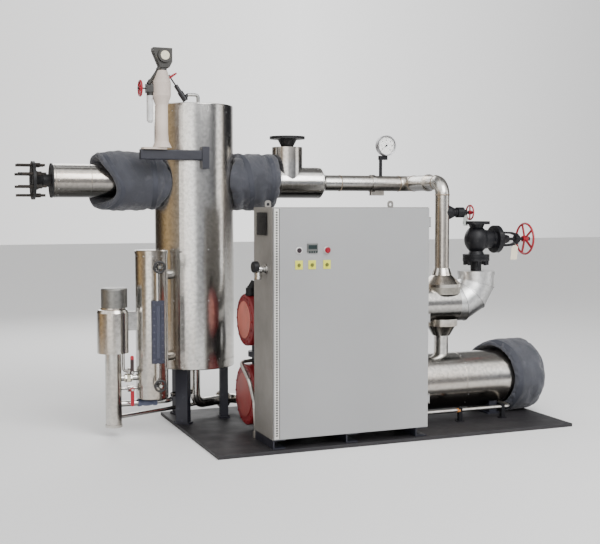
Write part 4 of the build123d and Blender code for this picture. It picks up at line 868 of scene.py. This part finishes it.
# Header pipe, riser and their joints
# Plain stainless tube with welded elbows. The welds are brown with heat, and a ring joins the
# header to the riser behind the corner.
finish_nodes(pipe_steel, "header_pipe")
finish_nodes(cladding_steel("riser_steel", "z", 0.50, (0.22, 0.34)), "riser_pipe")
weld_material, weld_tree, weld_shader = flecked(
    "weld_bead", 0.9, 0.45, 30.0, (0.3, (0.16, 0.11, 0.07)), (0.7, (0.40, 0.33, 0.26))
)
emboss(weld_tree, weld_shader, (grain(weld_tree, 150.0), 0.0012))
riser_radius, header_radius, elbow = 0.057, 0.0645, 0.100
riser_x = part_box("riser_pipe")[1].x - riser_radius
header_y, header_z = header_axis
turned_piece(
    "header_welds", weld_material, "skid", "pipe_cladding",
    bead((riser_x - elbow, header_y, header_z), rightward, header_radius),
    bead((riser_x, header_y - elbow, header_z), (0, 1, 0), header_radius),
    bead((riser_x, heater_y + elbow, header_z), (0, 1, 0), riser_radius),
    bead((riser_x, heater_y, header_z - elbow), upward, riser_radius),
    bead((0.020, header_y, header_z), rightward, header_radius),
    sharp=60.0,
)

# Dial gauge
# Pressure gauge on a bent siphon with a cock: pressed steel case, white dial with printed
# divisions and plain numbers, black pointer, and a flat glass held by the bezel.
valve_iron = paint_coat(
    "valve_iron", (0.008, 0.008, 0.010), (0.070, 0.067, 0.064), 0.40, 0.45, gloss=0.25
)
gauge_case = paint_coat("gauge_case", (0.30, 0.30, 0.31), (0.12, 0.12, 0.12), 0.35, 0.2, 0.6)
dial_white = paint_coat("dial_white", (0.86, 0.86, 0.84), (0.76, 0.75, 0.72), 0.5, 0.15)
dial_black = paint_coat("dial_black", (0.015, 0.015, 0.016), (0.04, 0.04, 0.04), 0.5, 0.1)
clear_glass, glass_tree, glass_shader = surface("gauge_glass", 0.0, 0.03)
glass_shader.inputs["Base Color"].default_value = (1.0, 1.0, 1.0, 1.0)
glass_shader.inputs["Transmission Weight"].default_value = 1.0
glass_shader.inputs["IOR"].default_value = 1.02
emboss(glass_tree, glass_shader, (grain(glass_tree, 12.0), 0.0001))
finish_nodes(valve_iron, "gauge_siphon")
finish_nodes(gauge_case, "pressure_gauge")
gauge_low, gauge_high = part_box("pressure_gauge")
dial_radius = (gauge_high.x - gauge_low.x) / 2
dial_centre = Vector(((gauge_low.x + gauge_high.x) / 2, gauge_low.y, gauge_high.z - dial_radius))
front = (0, -1, 0)
card_radius, pane_radius = dial_radius - 0.0095, dial_radius - 0.0090
turned_piece("gauge_dial", dial_white, "skid", "gauge_face", (
    [(0, 0), (card_radius, 0), (card_radius, 0.001), (0, 0.001)],
    dial_centre + Vector((0, 0.0072, 0)), front, 48,
))


def slab(shape, corners, step):
    """Thin flat piece: an outline and the same again a step away."""
    near = [shape.verts.new(corner) for corner in corners]
    far = [shape.verts.new(corner + step) for corner in corners]
    shape.faces.new(near)
    shape.faces.new(far[::-1])
    bridge(shape, near, far)


def dial_ray(turn_angle):
    """Directions out from the dial's centre and across it at one turn."""
    ray = Vector((math.cos(turn_angle), 0, math.sin(turn_angle)))
    return ray, Vector((-ray.z, 0, ray.x))


dial_marks = bmesh.new()
mark_centre = Vector((dial_centre.x, dial_centre.y + 0.0060, dial_centre.z))
sweep_start, sweep = math.radians(225), math.radians(270)
divisions = 30
outer_r = dial_radius - 0.013
for i in range(divisions + 1):
    ray, tangent = dial_ray(sweep_start - sweep * i / divisions)
    length, half = (0.011, 0.0011) if i % 5 == 0 else (0.006, 0.0006)
    inner_r = outer_r - length
    corners = ((inner_r, -half), (outer_r, -half), (outer_r, half), (inner_r, half))
    slab(dial_marks, [mark_centre + ray * r + tangent * h for r, h in corners], Vector((0, 0.0006, 0)))
turned(dial_marks, [(0, -0.0012), (0.008, -0.0012), (0.008, 0.002), (0, 0.002)], mark_centre, front, 20)
ray, tangent = dial_ray(math.radians(215))
pointer = (ray * 0.056, tangent * 0.0032 - ray * 0.016, -tangent * 0.0032 - ray * 0.016)
pointer_base = mark_centre + Vector((0, -0.0010, 0))
slab(dial_marks, [pointer_base + c for c in pointer], Vector((0, -0.0008, 0)))
closed_piece(dial_marks, "gauge_marks_and_pointer", dial_black, "skid")
numeral_shape = bmesh.new()
for step in range(7):
    text = bpy.data.curves.new(f"numeral_{step}", "FONT")
    text.body = str(step * 2)
    text.size = 0.019
    text.extrude = 0.0003
    text.align_x = "CENTER"
    text.align_y = "CENTER"
    holder = bpy.data.objects.new(f"numeral_{step}", text)
    bpy.context.scene.collection.objects.link(holder)
    flat = baked(holder)
    bpy.data.objects.remove(holder)
    at = mark_centre + dial_ray(sweep_start - sweep * step / 6)[0] * (dial_radius - 0.035)
    flat.transform(Matrix.Translation(at) @ Matrix.Rotation(math.radians(90), 4, "X"))
    numeral_shape.from_mesh(flat)
numeral_mesh = bpy.data.meshes.new("gauge_numerals")
numeral_shape.to_mesh(numeral_mesh)
numeral_shape.free()
keep(numeral_mesh, "gauge_numerals", dial_black, "skid")
bezel_outline = ((-0.008, 0.0), (-0.0085, 0.006), (-0.002, 0.009), (0.0005, 0.005), (0.0005, -0.010),
                 (-0.0015, -0.010))
turned_piece(
    "gauge_bezel", gauge_case, "skid", "gauge_face",
    ([(dial_radius + r, h) for r, h in bezel_outline], dial_centre, front, 64, True), sharp=50.0,
)
turned_piece("gauge_glass", clear_glass, "skid", "gauge_face", (
    [(0, 0.001), (pane_radius, 0.001), (pane_radius, 0.003), (0, 0.003)], dial_centre, front, 48,
))

# Heaters
# Two level tube heaters, one over the other, clad like the vessel. Their channels end in thick
# red cover plates with a painted pink reflection in the middle, held by a ring of studs and nuts.
finish_nodes(level_steel, "upper_heater_shell", "lower_heater_shell", "upper_pipe_cladding")
finish_nodes(pipe_steel, "link_pipe")


def cover_enamel(face_x):
    """Red enamel with a painted pink reflection on the covers' raised middle, most of all higher up."""
    material, tree, shader = surface("cover_red", 0.0, 0.38)
    sides = put(tree, "ShaderNodeSeparateXYZ", {0: put(tree, "ShaderNodeTexCoord").outputs["Object"]})
    on_face = put(tree, "ShaderNodeMath", {0: face_x, 1: sides.outputs["X"]}, operation="GREATER_THAN")
    red, reflected_pink = (
        shaded(tree, colour, grain(tree, 6.0, detail=6.0), (0.3, 0.72), (0.7, 1.12))
        for colour in ((0.19, 0.008, 0.012), (0.56, 0.17, 0.13))
    )
    # Painted reflection and shade: the face's pink grows with height, so lower down it stays darker red.
    sheen_by_height = put(
        tree, "ShaderNodeMapRange",
        {"Value": sides.outputs["Z"], "From Min": 0.30, "From Max": 0.80, "To Min": 0.22, "To Max": 0.92},
    )
    share = put(
        tree, "ShaderNodeMath", {0: on_face.outputs[0], 1: sheen_by_height.outputs["Result"]}, operation="MULTIPLY"
    )
    tint(tree, shader, blended(tree, share.outputs[0], red, reflected_pink))
    roughen(tree, shader, 0.28, 0.52, grain(tree, 12.0))
    emboss(tree, shader, (grain(tree, 9.0), 0.0014), (grain(tree, 260.0), 0.0002))
    return material


def stud_circle_tree():
    """Hexagon nuts with a stud end through each, spaced round a circle that faces left."""
    tree, given = new_tree(
        "stud_circle", ("Count", "Int"), ("Circle Radius", "Float"), ("Nut Radius", "Float"),
        ("Nut Height", "Float"), ("Centre", "Vector"), ("Tilt", "Vector"),
    )
    circle = put(
        tree, "GeometryNodeMeshCircle", {"Vertices": given["Count"], "Radius": given["Circle Radius"]}
    )
    nut = put(
        tree, "GeometryNodeMeshCylinder",
        {"Vertices": 6, "Radius": given["Nut Radius"], "Depth": given["Nut Height"]},
    )
    stud_radius, stud_height = (
        put(tree, "ShaderNodeMath", {0: given[key], 1: share}, operation="MULTIPLY").outputs[0]
        for key, share in (("Nut Radius", 0.55), ("Nut Height", 1.7))
    )
    stud = put(
        tree, "GeometryNodeMeshCylinder", {"Vertices": 12, "Radius": stud_radius, "Depth": stud_height}
    )
    both = put(tree, "GeometryNodeJoinGeometry")
    tree.links.new(nut.outputs["Mesh"], both.inputs[0])
    tree.links.new(stud.outputs["Mesh"], both.inputs[0])
    row = put(
        tree, "GeometryNodeInstanceOnPoints",
        {"Points": circle.outputs["Mesh"], "Instance": both.outputs["Geometry"]},
    )
    set_down = put(tree, "GeometryNodeTransform", {
        "Geometry": row.outputs["Instances"], "Translation": given["Centre"], "Rotation": given["Tilt"],
    })
    return send_out(tree, set_down.outputs["Geometry"], given)


finish_nodes(
    cover_enamel(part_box("lower_heater_cover")[0].x + 0.0035), "upper_heater_cover", "lower_heater_cover"
)
stud_circle = stud_circle_tree()
stud_red = paint_coat("stud_red", (0.20, 0.010, 0.012), (0.05, 0.04, 0.04), 0.35, 0.45)
for cover_name in ("upper_heater_cover", "lower_heater_cover"):
    low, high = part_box(cover_name)
    grown(
        bpy.data.meshes.new("seed"), cover_name.replace("cover", "studs"), stud_circle,
        {
            "Count": 16, "Circle Radius": (high.z - low.z) / 2 - 0.026, "Nut Radius": 0.011,
            "Nut Height": 0.012, "Centre": (low.x + 0.010, (low.y + high.y) / 2, (low.z + high.z) / 2),
            "Tilt": (0.0, math.radians(-90), 0.0), "Finish": stud_red,
        },
        "skid",
    )
shell_low, shell_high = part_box("lower_heater_shell")
heater_axis = (heater_y, (shell_low.z + shell_high.z) / 2)
turned_piece(
    "lower_heater_beads", level_steel, "skid", "cladding",
    *(
        bead((x, *heater_axis), rightward, shell_radius - 0.001, 0.0034, 1.0, 64)
        for x in (-0.10, 0.78)
    ),
    sharp=60.0,
)
rivets(
    "lower_heater_rivets", [level_ring(heater_axis, shell_radius, x, 56) for x in (-0.085, 0.795)],
    0.090, (0, *heater_axis), rightward,
)

# Mitred elbow
# The large bend is cut from flat cladding in straight gores. Each lap is rolled over the next
# and riveted, and a flat plate closes the top under the main valve.
finish_nodes(
    cladding_steel("elbow_cladding", "", 0.12, (0.30, 0.44), (0.78, 0.78, 0.77)), "mitred_elbow"
)
bend_centre = Vector((0.768, heater_y, 1.132))
bend_radius, gore_radius = 0.210, 0.145
seam_offset, seam_steps = 0.0034, 72
seam_profile = ((-0.0012, -0.001), (0.0, 0.0026), (0.0012, -0.001))
seam_stretch = 1 / math.cos(math.radians(15.0))
elbow_seams = bmesh.new()
seam_rings = []
for seam_angle in (15.0, 45.0, 75.0):
    t = math.radians(seam_angle)
    outward = Vector((math.sin(t), 0, -math.cos(t)))
    along = Vector((math.cos(t), 0, math.sin(t)))
    middle = bend_centre + outward * bend_radius * seam_stretch
    spokes = [
        Vector((0, math.cos(a), 0)) + outward * math.sin(a) * seam_stretch
        for a in [2 * math.pi * i / seam_steps for i in range(seam_steps)]
    ]
    for hand in (-1, 1):
        ring = [middle + along * seam_offset * hand + spoke * gore_radius for spoke in spokes]
        ring_of_rows(elbow_seams, [
            [at + along * w + spoke.normalized() * h for w, h in seam_profile]
            for at, spoke in zip(ring, spokes)
        ])
    seam_rings.append([
        at + spoke.normalized() * 0.001 + along * 0.014 for at, spoke in zip(ring, spokes)
    ])
seam_dark = paint_coat("seam_sealant", (0.030, 0.030, 0.032), (0.12, 0.12, 0.12), 0.6, 0.3)
closed_piece(elbow_seams, "elbow_seams", seam_dark, "skid", 60.0)
rivets(
    "elbow_rivets", seam_rings, 0.070, bend_centre + Vector((0.15, 0, -0.15)), (0.7071, 0, 0.7071),
    size=(0.0036, 0.0036, 0.0018),
)

# Hood round the riser
# The cone at the riser's foot comes down onto the clad pipe in a short skirt cut to fit it.
hood_radius, hood_wall = 0.151, 0.006
hood_top, hood_low, hood_steps = 1.056, 1.000, 72
pipe_axis_z, pipe_radius = 0.922, 0.1445
hood_rows = []
for i in range(hood_steps):
    a = 2 * math.pi * i / hood_steps
    side = hood_radius * math.sin(a)
    seat = pipe_axis_z + math.sqrt(max(pipe_radius ** 2 - side * side, 0.0)) - 0.004
    foot = min(max(seat, hood_low), hood_top - 0.006)
    out = Vector((math.cos(a), math.sin(a), 0))
    hood_rows.append([
        Vector((riser_x, heater_y, z)) + out * reach
        for reach, z in ((hood_radius, hood_top), (hood_radius, foot),
                         (hood_radius - hood_wall, foot), (hood_radius - hood_wall, hood_top))
    ])
riser_hood = bmesh.new()
ring_of_rows(riser_hood, hood_rows)
# Painted shade: the skirt is clad in a dark brown-grey tone for the shade round the riser's foot.
shaded_hood_steel = cladding_steel("shaded_hood_steel", "", 0.5, (0.42, 0.56), (0.36, 0.34, 0.30))
closed_piece(riser_hood, "riser_hood_skirt", shaded_hood_steel, "skid")

# Main valve
# Cast iron globe valve with a bolted bonnet and a yoke, in near-black paint worn to metal on
# the machined rims. The red wheel is a casting with five spokes on a square stem end.
finish_nodes(valve_iron, "main_valve_body", "main_valve_bonnet", "valve_neck", "side_valve")
red_enamel = paint_coat("red_enamel", (0.33, 0.006, 0.018), (0.10, 0.03, 0.03), 0.30, 0.30)
finish_nodes(
    red_enamel, "main_valve_handwheel", "side_valve_handwheel", "left_instrument_wheel",
    "right_instrument_wheel", "lower_cock_lever",
)


def parted_finish(name, kind, axis, limit, before, past, cloud, shade, peel):
    """Two colours on one piece, parted where an axis passes a limit."""
    material, tree, shader = surface(name, *kind)
    sides = put(tree, "ShaderNodeSeparateXYZ", {0: put(tree, "ShaderNodeTexCoord").outputs["Object"]})
    beyond = put(tree, "ShaderNodeMath", {0: sides.outputs[axis], 1: limit}, operation="GREATER_THAN")
    pair = [
        shaded(tree, colour, grain(tree, cloud[0], detail=cloud[1]), (0.3, shade[0]), (0.7, shade[1]))
        for colour in (before, past)
    ]
    tint(tree, shader, blended(tree, beyond.outputs[0], *pair))
    emboss(tree, shader, (grain(tree, peel[0]), peel[1]))
    return material


finish_nodes(
    parted_finish("dipped_lever", (0.0, 0.42), "Z", 0.572, (0.030, 0.014, 0.014),
                  (0.33, 0.008, 0.018), (30.0, 5.0), (0.75, 1.15), (90.0, 0.0004)),
    "upper_cock_lever",
)
tag_paper = paint_coat("tag_card", (0.68, 0.62, 0.48), (0.50, 0.45, 0.36), 0.75, 0.35)
tag_grey = paint_coat("tag_tin", (0.42, 0.44, 0.42), (0.26, 0.26, 0.25), 0.5, 0.35, 0.4)
for tag_name, hook, width, length, lean, material, slot in (
    ("yoke_tag", Vector((1.335, heater_y - 0.020, 1.392)), 0.062, 0.118, 0.10, tag_paper, "stand_cover"),
    ("side_valve_tag", Vector((0.865, heater_y - 0.014, 1.640)), 0.040, 0.085, -0.05, tag_grey, "zinc"),
):
    cut = width * 0.28
    outline = (
        (-width / 2, -length), (width / 2, -length), (width / 2, -cut),
        (width / 2 - cut, 0.0), (-width / 2 + cut, 0.0), (-width / 2, -cut),
    )
    tag = bmesh.new()
    bowed = [
        hook + Vector((x + z * lean, 0.05 * x * x / width - 0.0006, z - 0.014)) for x, z in outline
    ]
    slab(tag, bowed, Vector((0, 0.0012, 0)))
    turned(tag, *bead(hook - Vector((0, 0, 0.010)), (1, 0.2, 0), 0.008, 0.0009, 1.0, 20, 6))
    closed_piece(tag, tag_name, material, "skid")

# Control cabinet
# Folded sheet enclosure in light grey powder coat, with one hinged door, a louvred vent and a
# cable gland on its left side, lifting eyes on top and black channel feet.
cabinet_paint, cabinet_tree, cabinet_shader = surface("cabinet_powder", 0.0, 0.46)
cabinet_colour = shaded(
    cabinet_tree, (0.300, 0.302, 0.306), grain(cabinet_tree, 1.1, detail=4.0), (0.35, 0.94), (0.70, 1.04)
)
smears = ramp(cabinet_tree, grain(cabinet_tree, 3.0, (1.0, 1.0, 0.2), 9.0), [(0.62, 0.0), (0.85, 0.22)])
tint(cabinet_tree, cabinet_shader, blended(cabinet_tree, smears, cabinet_colour, (0.36, 0.34, 0.31)))
roughen(cabinet_tree, cabinet_shader, 0.38, 0.56, grain(cabinet_tree, 5.0))
emboss(cabinet_tree, cabinet_shader, (grain(cabinet_tree, 520.0, detail=2.0), 0.00012))
finish_nodes(cabinet_paint, "cabinet_door")
# Painted shade: the shell, whose side faces away from the light, is a darker and warmer grey than the
# door.
shaded_side_paint = paint_coat("cabinet_side_painted_shade", (0.205, 0.196, 0.182), (0.15, 0.14, 0.12), 0.5, 0.2)
finish_nodes(shaded_side_paint, "cabinet_shell")
zinc_plate = paint_coat("zinc_plate", (0.62, 0.62, 0.60), (0.42, 0.42, 0.40), 0.4, 0.4, 0.9)
finish_nodes(zinc_plate, "cabinet_mounting_plate")
rubber_black = paint_coat(
    "gland_plastic", (0.010, 0.010, 0.011), (0.04, 0.04, 0.04), 0.5, 0.2, gloss=0.25
)
vent_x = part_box("cabinet_shell")[0].x
slat_bottoms = [1.508 + slat * 0.0140 for slat in range(9)]
block_piece(
    "side_vent", rubber_black, "skid", "black_plastic",
    ((vent_x - 0.0012, -0.670, 1.496), (vent_x + 0.0020, -0.472, 1.654), 0.0008),
    *(((vent_x - 0.0036, -0.666, z), (vent_x, -0.476, z + 0.006), 0.0012) for z in slat_bottoms),
)
entry_steel = cladding_steel("entry_steel", "", 0.10, (0.20, 0.32), (0.74, 0.73, 0.71))
entry_foot = Vector((-1.025, -0.640, 1.262))
leftward = (-1, 0, 0)
fitting = turned_piece(
    "cable_fitting", entry_steel, "skid", "black_plastic",
    (
        [(0, 0), (0.034, 0), (0.034, 0.006), (0.027, 0.008), (0.027, 0.018), (0.018, 0.020),
         (0.018, 0.036), (0.029, 0.040), (0.029, 0.076), (0, 0.076)],
        entry_foot, leftward, 32,
    ),
    (
        [(0, 0), (0.022, 0), (0.022, 0.044), (0.026, 0.046), (0.026, 0.066), (0.017, 0.070), (0, 0.070)],
        entry_foot + Vector((-0.058, 0, 0)), (0, 0, -1), 28,
    ),
)
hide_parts("cable_entry")
turned_piece("cable_gland", rubber_black, "skid", "black_plastic", (
    [(0, 0.060), (0.034, 0.060), (0.040, 0.066), (0.040, 0.096), (0.033, 0.103), (0, 0.103)],
    entry_foot + Vector((0, 0, 0.018)), leftward, 12,
))
door_low, door_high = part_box("cabinet_door")
seal_inset, seal_near, seal_far = 0.016, door_low.y + 0.0185, door_low.y + 0.0197
block_piece("door_seal", rubber_black, "door", "black_plastic", *(
    ((x, seal_near, door_low.z + seal_inset), (x + 0.012, seal_far, door_high.z - seal_inset), 0.0004)
    for x in (door_low.x + 0.020, door_high.x - 0.044)
))

# Slotted strip down the door's free edge
# A bright folded strip covers the lock rods along the door's left edge, punched with a row of small
# slots, and a gap parts it from the sheet. Slots and gap are dark paint: painted shade.
strip_metal = paint_coat("edge_strip", (0.56, 0.55, 0.52), (0.42, 0.41, 0.38), 0.36, 0.3, 0.1)
# Painted shade: this dark paint stands for the shade inside the slots and the gap.
strip_shade_dark = paint_coat("strip_slots_painted_shade", (0.055, 0.053, 0.050), (0.10, 0.10, 0.09), 0.6, 0.2)
strip_left = door_low.x + 0.003
strip_right = strip_left + 0.034
strip_front, strip_back = door_low.y - 0.0022, door_low.y + 0.0008
strip_foot, strip_top = door_low.z + 0.006, door_high.z - 0.006
block_piece("door_edge_strip", strip_metal, "door", "cabinet_paint", (
    (strip_left, strip_front, strip_foot), (strip_right, strip_back, strip_top), 0.0008
))
block_piece("door_strip_gap", strip_shade_dark, "door", "cabinet_paint", (
    (strip_right + 0.0005, door_low.y - 0.0012, strip_foot),
    (strip_right + 0.0055, strip_back, strip_top), 0.0004,
))


def slot_row_tree():
    """Short raised slots repeated up a line, each a flattened bead."""
    tree, given = new_tree("slot_row", ("Pitch", "Float"), ("Slot Size", "Vector"))
    dot = put(tree, "GeometryNodeMeshUVSphere", {"Segments": 8, "Rings": 4, "Radius": 1.0})
    row = put(tree, "GeometryNodeInstanceOnPoints", {
        "Points": spaced_points(tree, given), "Instance": dot.outputs["Mesh"],
        "Scale": given["Slot Size"],
    })
    return send_out(tree, row.outputs["Instances"], given)


strip_middle = (strip_left + strip_right) / 2
slot_line = [(strip_middle, strip_front, z) for z in (door_low.z + 0.030, door_high.z - 0.030)]
grown(
    ring_edges([slot_line], closed=False), "door_edge_slots", slot_row_tree(),
    {"Pitch": 0.0175, "Slot Size": (0.0090, 0.0008, 0.0064), "Finish": strip_shade_dark},
    "door",
)

# Door controls
# A black push button, a small display, a red mushroom stop and three selector switches on
# yellow legend plates. The button and the stop sit in pale rings let into the door.
button_black = paint_coat("button_black", (0.03, 0.02, 0.025), (0.07, 0.06, 0.06), 0.3, 0.1)
stop_red = paint_coat("stop_red", (0.26, 0.008, 0.022), (0.18, 0.02, 0.03), 0.25, 0.1)
legend_yellow = paint_coat("legend_yellow", (0.66, 0.66, 0.06), (0.50, 0.50, 0.10), 0.45, 0.15)
bezel_pale = paint_coat("bezel_pale", (0.66, 0.65, 0.64), (0.50, 0.48, 0.47), 0.3, 0.15)
knob_olive = paint_coat("knob_olive", (0.16, 0.17, 0.035), (0.30, 0.30, 0.08), 0.4, 0.15)
display_case = paint_coat("display_case", (0.10, 0.105, 0.10), (0.16, 0.16, 0.16), 0.4, 0.15)
display_pane = paint_coat("display_pane", (0.02, 0.03, 0.03), (0.05, 0.06, 0.06), 0.12, 0.1)
face_y = door_low.y
button_place, stop_place = ((x, face_y, 1.395) for x in (-0.837, -0.631))
selector_x, selector_z = (-0.838, -0.741, -0.630), 1.294
ring_outline = [(0, -0.001), (0.024, -0.001), (0.024, 0.004), (0.021, 0.006), (0.018, 0.006),
                (0.018, 0.003), (0, 0.003)]
rings_made = turned_piece(
    "control_bezels", bezel_pale, "door", "controls",
    (ring_outline, button_place, front, 32), (ring_outline, stop_place, front, 32),
)
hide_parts("door_controls")
turned_piece("start_button", button_black, "door", "controls", (
    [(0, 0.002), (0.0165, 0.002), (0.0165, 0.012), (0.015, 0.0145), (0, 0.0150)],
    button_place, front, 28,
))
turned_piece("stop_button", stop_red, "door", "controls", (
    [(0, 0.002), (0.010, 0.002), (0.010, 0.012), (0.0200, 0.016), (0.0215, 0.020), (0.0185, 0.0240),
     (0.008, 0.0250), (0, 0.0250)],
    stop_place, front, 32,
))
block_piece("selector_legends", legend_yellow, "door", "controls", *(
    ((x - 0.028, face_y - 0.0030, selector_z - 0.030), (x + 0.028, face_y + 0.0005, selector_z + 0.032),
     0.0008)
    for x in selector_x
))
knobs = bmesh.new()
for x in selector_x:
    turned(
        knobs, [(0, 0.0015), (0.0125, 0.0015), (0.0125, 0.007), (0.011, 0.0085), (0, 0.0085)],
        (x, face_y, selector_z), front, 28,
    )
    eased_block(knobs, (x - 0.0035, face_y - 0.0175, selector_z - 0.0110),
                (x + 0.0035, face_y - 0.0080, selector_z + 0.0110), 0.0014)
closed_piece(knobs, "selector_knobs", knob_olive, "door")
block_piece("door_display", display_case, "door", "controls", (
    (-0.778, face_y - 0.008, 1.380), (-0.700, face_y + 0.0005, 1.441), 0.002
))
block_piece(
    "display_pane", display_pane, "door", "controls",
    ((-0.771, face_y - 0.0086, 1.402), (-0.707, face_y - 0.0070, 1.431), 0.0004),
    *(
        ((x, face_y - 0.0094, 1.376), (x + 0.0105, face_y - 0.0070, 1.390), 0.0006)
        for x in [-0.766 + key * 0.0170 for key in range(4)]
    ),
)

# Level column and gauges
# Lagged level column beside the vessel with a reflex level gauge on its front between two
# cocks. The gauge is a cast blue-grey frame that clamps a glass with two rows of bolts.
finish_nodes(vessel_steel, "level_column", "probe_chamber")
finish_nodes(cladding_steel("cap_cladding", "z", 0.2, (0.36, 0.50), (0.26, 0.26, 0.25)), "probe_cap")
finish_nodes(
    paint_coat("gauge_frame", (0.028, 0.030, 0.052), (0.10, 0.10, 0.13), 0.44, 0.30), "sight_gauge"
)
bright_pipe = cladding_steel("bright_pipe", "x", 0.15, (0.18, 0.28))
finish_nodes(bright_pipe, "gauge_cocks", "level_pipes")
wheel_black = paint_coat("wheel_black", (0.020, 0.019, 0.020), (0.12, 0.10, 0.08), 0.35, 0.4)
finish_nodes(wheel_black, "upper_cock_wheel", "lower_cock_wheel")
sight_low, sight_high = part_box("sight_gauge")
sight_x = (sight_low.x + sight_high.x) / 2
bolt_ends = (sight_low.z + 0.030, sight_high.z - 0.030)
rivets(
    "sight_gauge_bolts",
    [[(x, sight_low.y, z) for z in bolt_ends] for x in (sight_x - 0.032, sight_x + 0.032)], 0.050,
    (sight_x, sight_low.y + 10.0, 0), upward, 6, (0.0085, 0.0085, 0.0075),
    paint_coat("gauge_bolts", (0.070, 0.074, 0.105), (0.20, 0.20, 0.22), 0.4, 0.3, 0.3), closed=False,
)
reflex_glass, reflex_tree, reflex_shader = surface("reflex_glass", 0.0, 0.12)
reflex_place = put(reflex_tree, "ShaderNodeTexCoord").outputs["Object"]
ribs = put(
    reflex_tree, "ShaderNodeTexWave", {"Vector": reflex_place, "Scale": 60.0}, bands_direction="X"
).outputs["Fac"]
tint(
    reflex_tree, reflex_shader,
    ramp(reflex_tree, ribs, [(0.2, (0.030, 0.034, 0.055)), (0.8, (0.085, 0.092, 0.13))]),
)
emboss(reflex_tree, reflex_shader, (ribs, 0.0012))
block_piece("reflex_glass", reflex_glass, "skid", "sight_glass", (
    (sight_x - 0.0155, sight_low.y + 0.0020, sight_low.z + 0.034),
    (sight_x + 0.0155, sight_low.y + 0.0080, sight_high.z - 0.034), 0.0016,
))
hub_brass = paint_coat("hub_brass", (0.62, 0.56, 0.36), (0.40, 0.33, 0.20), 0.35, 0.3, 0.5)
nut_outline = [(0, 0.0118), (0.0125, 0.0118), (0.0125, 0.0175), (0.009, 0.0195), (0, 0.0195)]
turned_piece("cock_hub_nuts", hub_brass, "skid", "silver_pipe", *(
    (nut_outline, sum(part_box(wheel), Vector()) / 2, front, 6)
    for wheel in ("upper_cock_wheel", "lower_cock_wheel")
))
column_centre = Vector((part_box("level_column")[0].x + 0.124, 0.180, 0))
column_radius = 0.120
rivets(
    "column_rivets", [upright_ring(column_centre, column_radius, z, 32) for z in (0.300, 1.330)],
    0.075, column_centre, upward,
)

# Level pipes, cocks and the drain valve
# Bright small-bore tube with a cream plastic union, two ball cocks with flat levers, the upper
# one black with a red tip, and a blue-grey valve on the line back to the vessel's drain.
union_cream = paint_coat("union_cream", (0.72, 0.68, 0.52), (0.50, 0.45, 0.32), 0.45, 0.25)
turned_piece("pipe_union", union_cream, "skid", "silver_pipe", (
    [(0, 0), (0.024, 0), (0.027, 0.004), (0.027, 0.016), (0.0335, 0.018), (0.0335, 0.044), (0.027, 0.046),
     (0.027, 0.058), (0.024, 0.062), (0, 0.062)],
    (-1.852, 0.180, 0.428), rightward, 8,
))
finish_nodes(paint_coat("valve_blue", (0.075, 0.090, 0.150), (0.20, 0.20, 0.22), 0.4, 0.35), "level_valve")

# Transmitter stand
# A cast beige stand on the arm carries the black transmitter with its round window. Small
# valves with red wheels branch off to the left and from the vessel's top.
finish_nodes(
    paint_coat("stand_beige", (0.60, 0.52, 0.46), (0.42, 0.36, 0.31), 0.55, 0.35),
    "transmitter_stanchion",
)
head_black = paint_coat("head_black", (0.020, 0.018, 0.014), (0.16, 0.14, 0.08), 0.42, 0.45)
finish_nodes(head_black, "transmitter_head")
finish_nodes(
    parted_finish("pot_and_block", (0.1, 0.42), "Z", 2.505, (0.66, 0.67, 0.68),
                  (0.025, 0.024, 0.022), (14.0, 6.0), (0.78, 1.1), (45.0, 0.0008)),
    "left_instrument_valve",
)
finish_nodes(
    parted_finish("arch_and_valve", (0.8, 0.30), "X", -1.318, (0.045, 0.044, 0.046),
                  (0.34, 0.34, 0.33), (16.0, 6.0), (0.74, 1.1), (60.0, 0.0006)),
    "right_instrument_valve",
)
arm_top, arm_foot = Vector((-1.575, 0.120, 2.715)), Vector((-1.662, 0.120, 2.585))
turned_piece("sensing_arm", head_black, "skid", "black_plastic", (
    [(0, 0), (0.016, 0), (0.016, 0.030), (0.011, 0.034), (0.011, 0.120), (0.017, 0.124), (0.017, 0.156),
     (0, 0.156)],
    arm_top, arm_foot - arm_top, 20,
))
window_cream = paint_coat("window_cream", (0.70, 0.66, 0.48), (0.55, 0.50, 0.36), 0.3, 0.2)
turned_piece("transmitter_window", window_cream, "skid", "black_plastic", (
    [(0, -0.002), (0.033, -0.002), (0.033, -0.0055), (0, -0.0055)],
    (-1.541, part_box("transmitter_head")[0].y, 2.798), front, 32,
))

# Conduits and posts
# Zinc-plated conduit from the channel link to the deck, and another along the deck from the
# cabinet to the lower heater on two black posts, tied at the first with a strap.
finish_nodes(cladding_steel("conduit_zinc", "", 0.25, (0.30, 0.42)), "conduits")
finish_nodes(valve_iron, "conduit_posts")
glands = []
for start, end, thick in (
    (Vector((-0.975, -0.150, 1.040)), Vector((-0.975, -0.150, 1.098)), 0.034),
    (Vector((-0.977, -0.150, 1.080)), Vector((-0.940, -0.150, 1.140)), 0.028),
):
    run = end - start
    glands.append((
        [(0, 0), (thick, 0), (thick + 0.003, 0.006), (thick + 0.003, 0.018), (thick, 0.022),
         (thick, run.length), (0, run.length)],
        start, run, 20,
    ))
turned_piece("channel_gland", rubber_black, "skid", "black_plastic", *glands)
tie_orange = paint_coat("tie_strap", (0.50, 0.20, 0.05), (0.30, 0.14, 0.05), 0.5, 0.3)
turned_piece("conduit_tie", tie_orange, "skid", "black_plastic", (
    [(0.0145, -0.012), (0.0170, -0.012), (0.0170, 0.012), (0.0145, 0.012)],
    (0.640, -0.415, 0.112), rightward, 24, True,
))
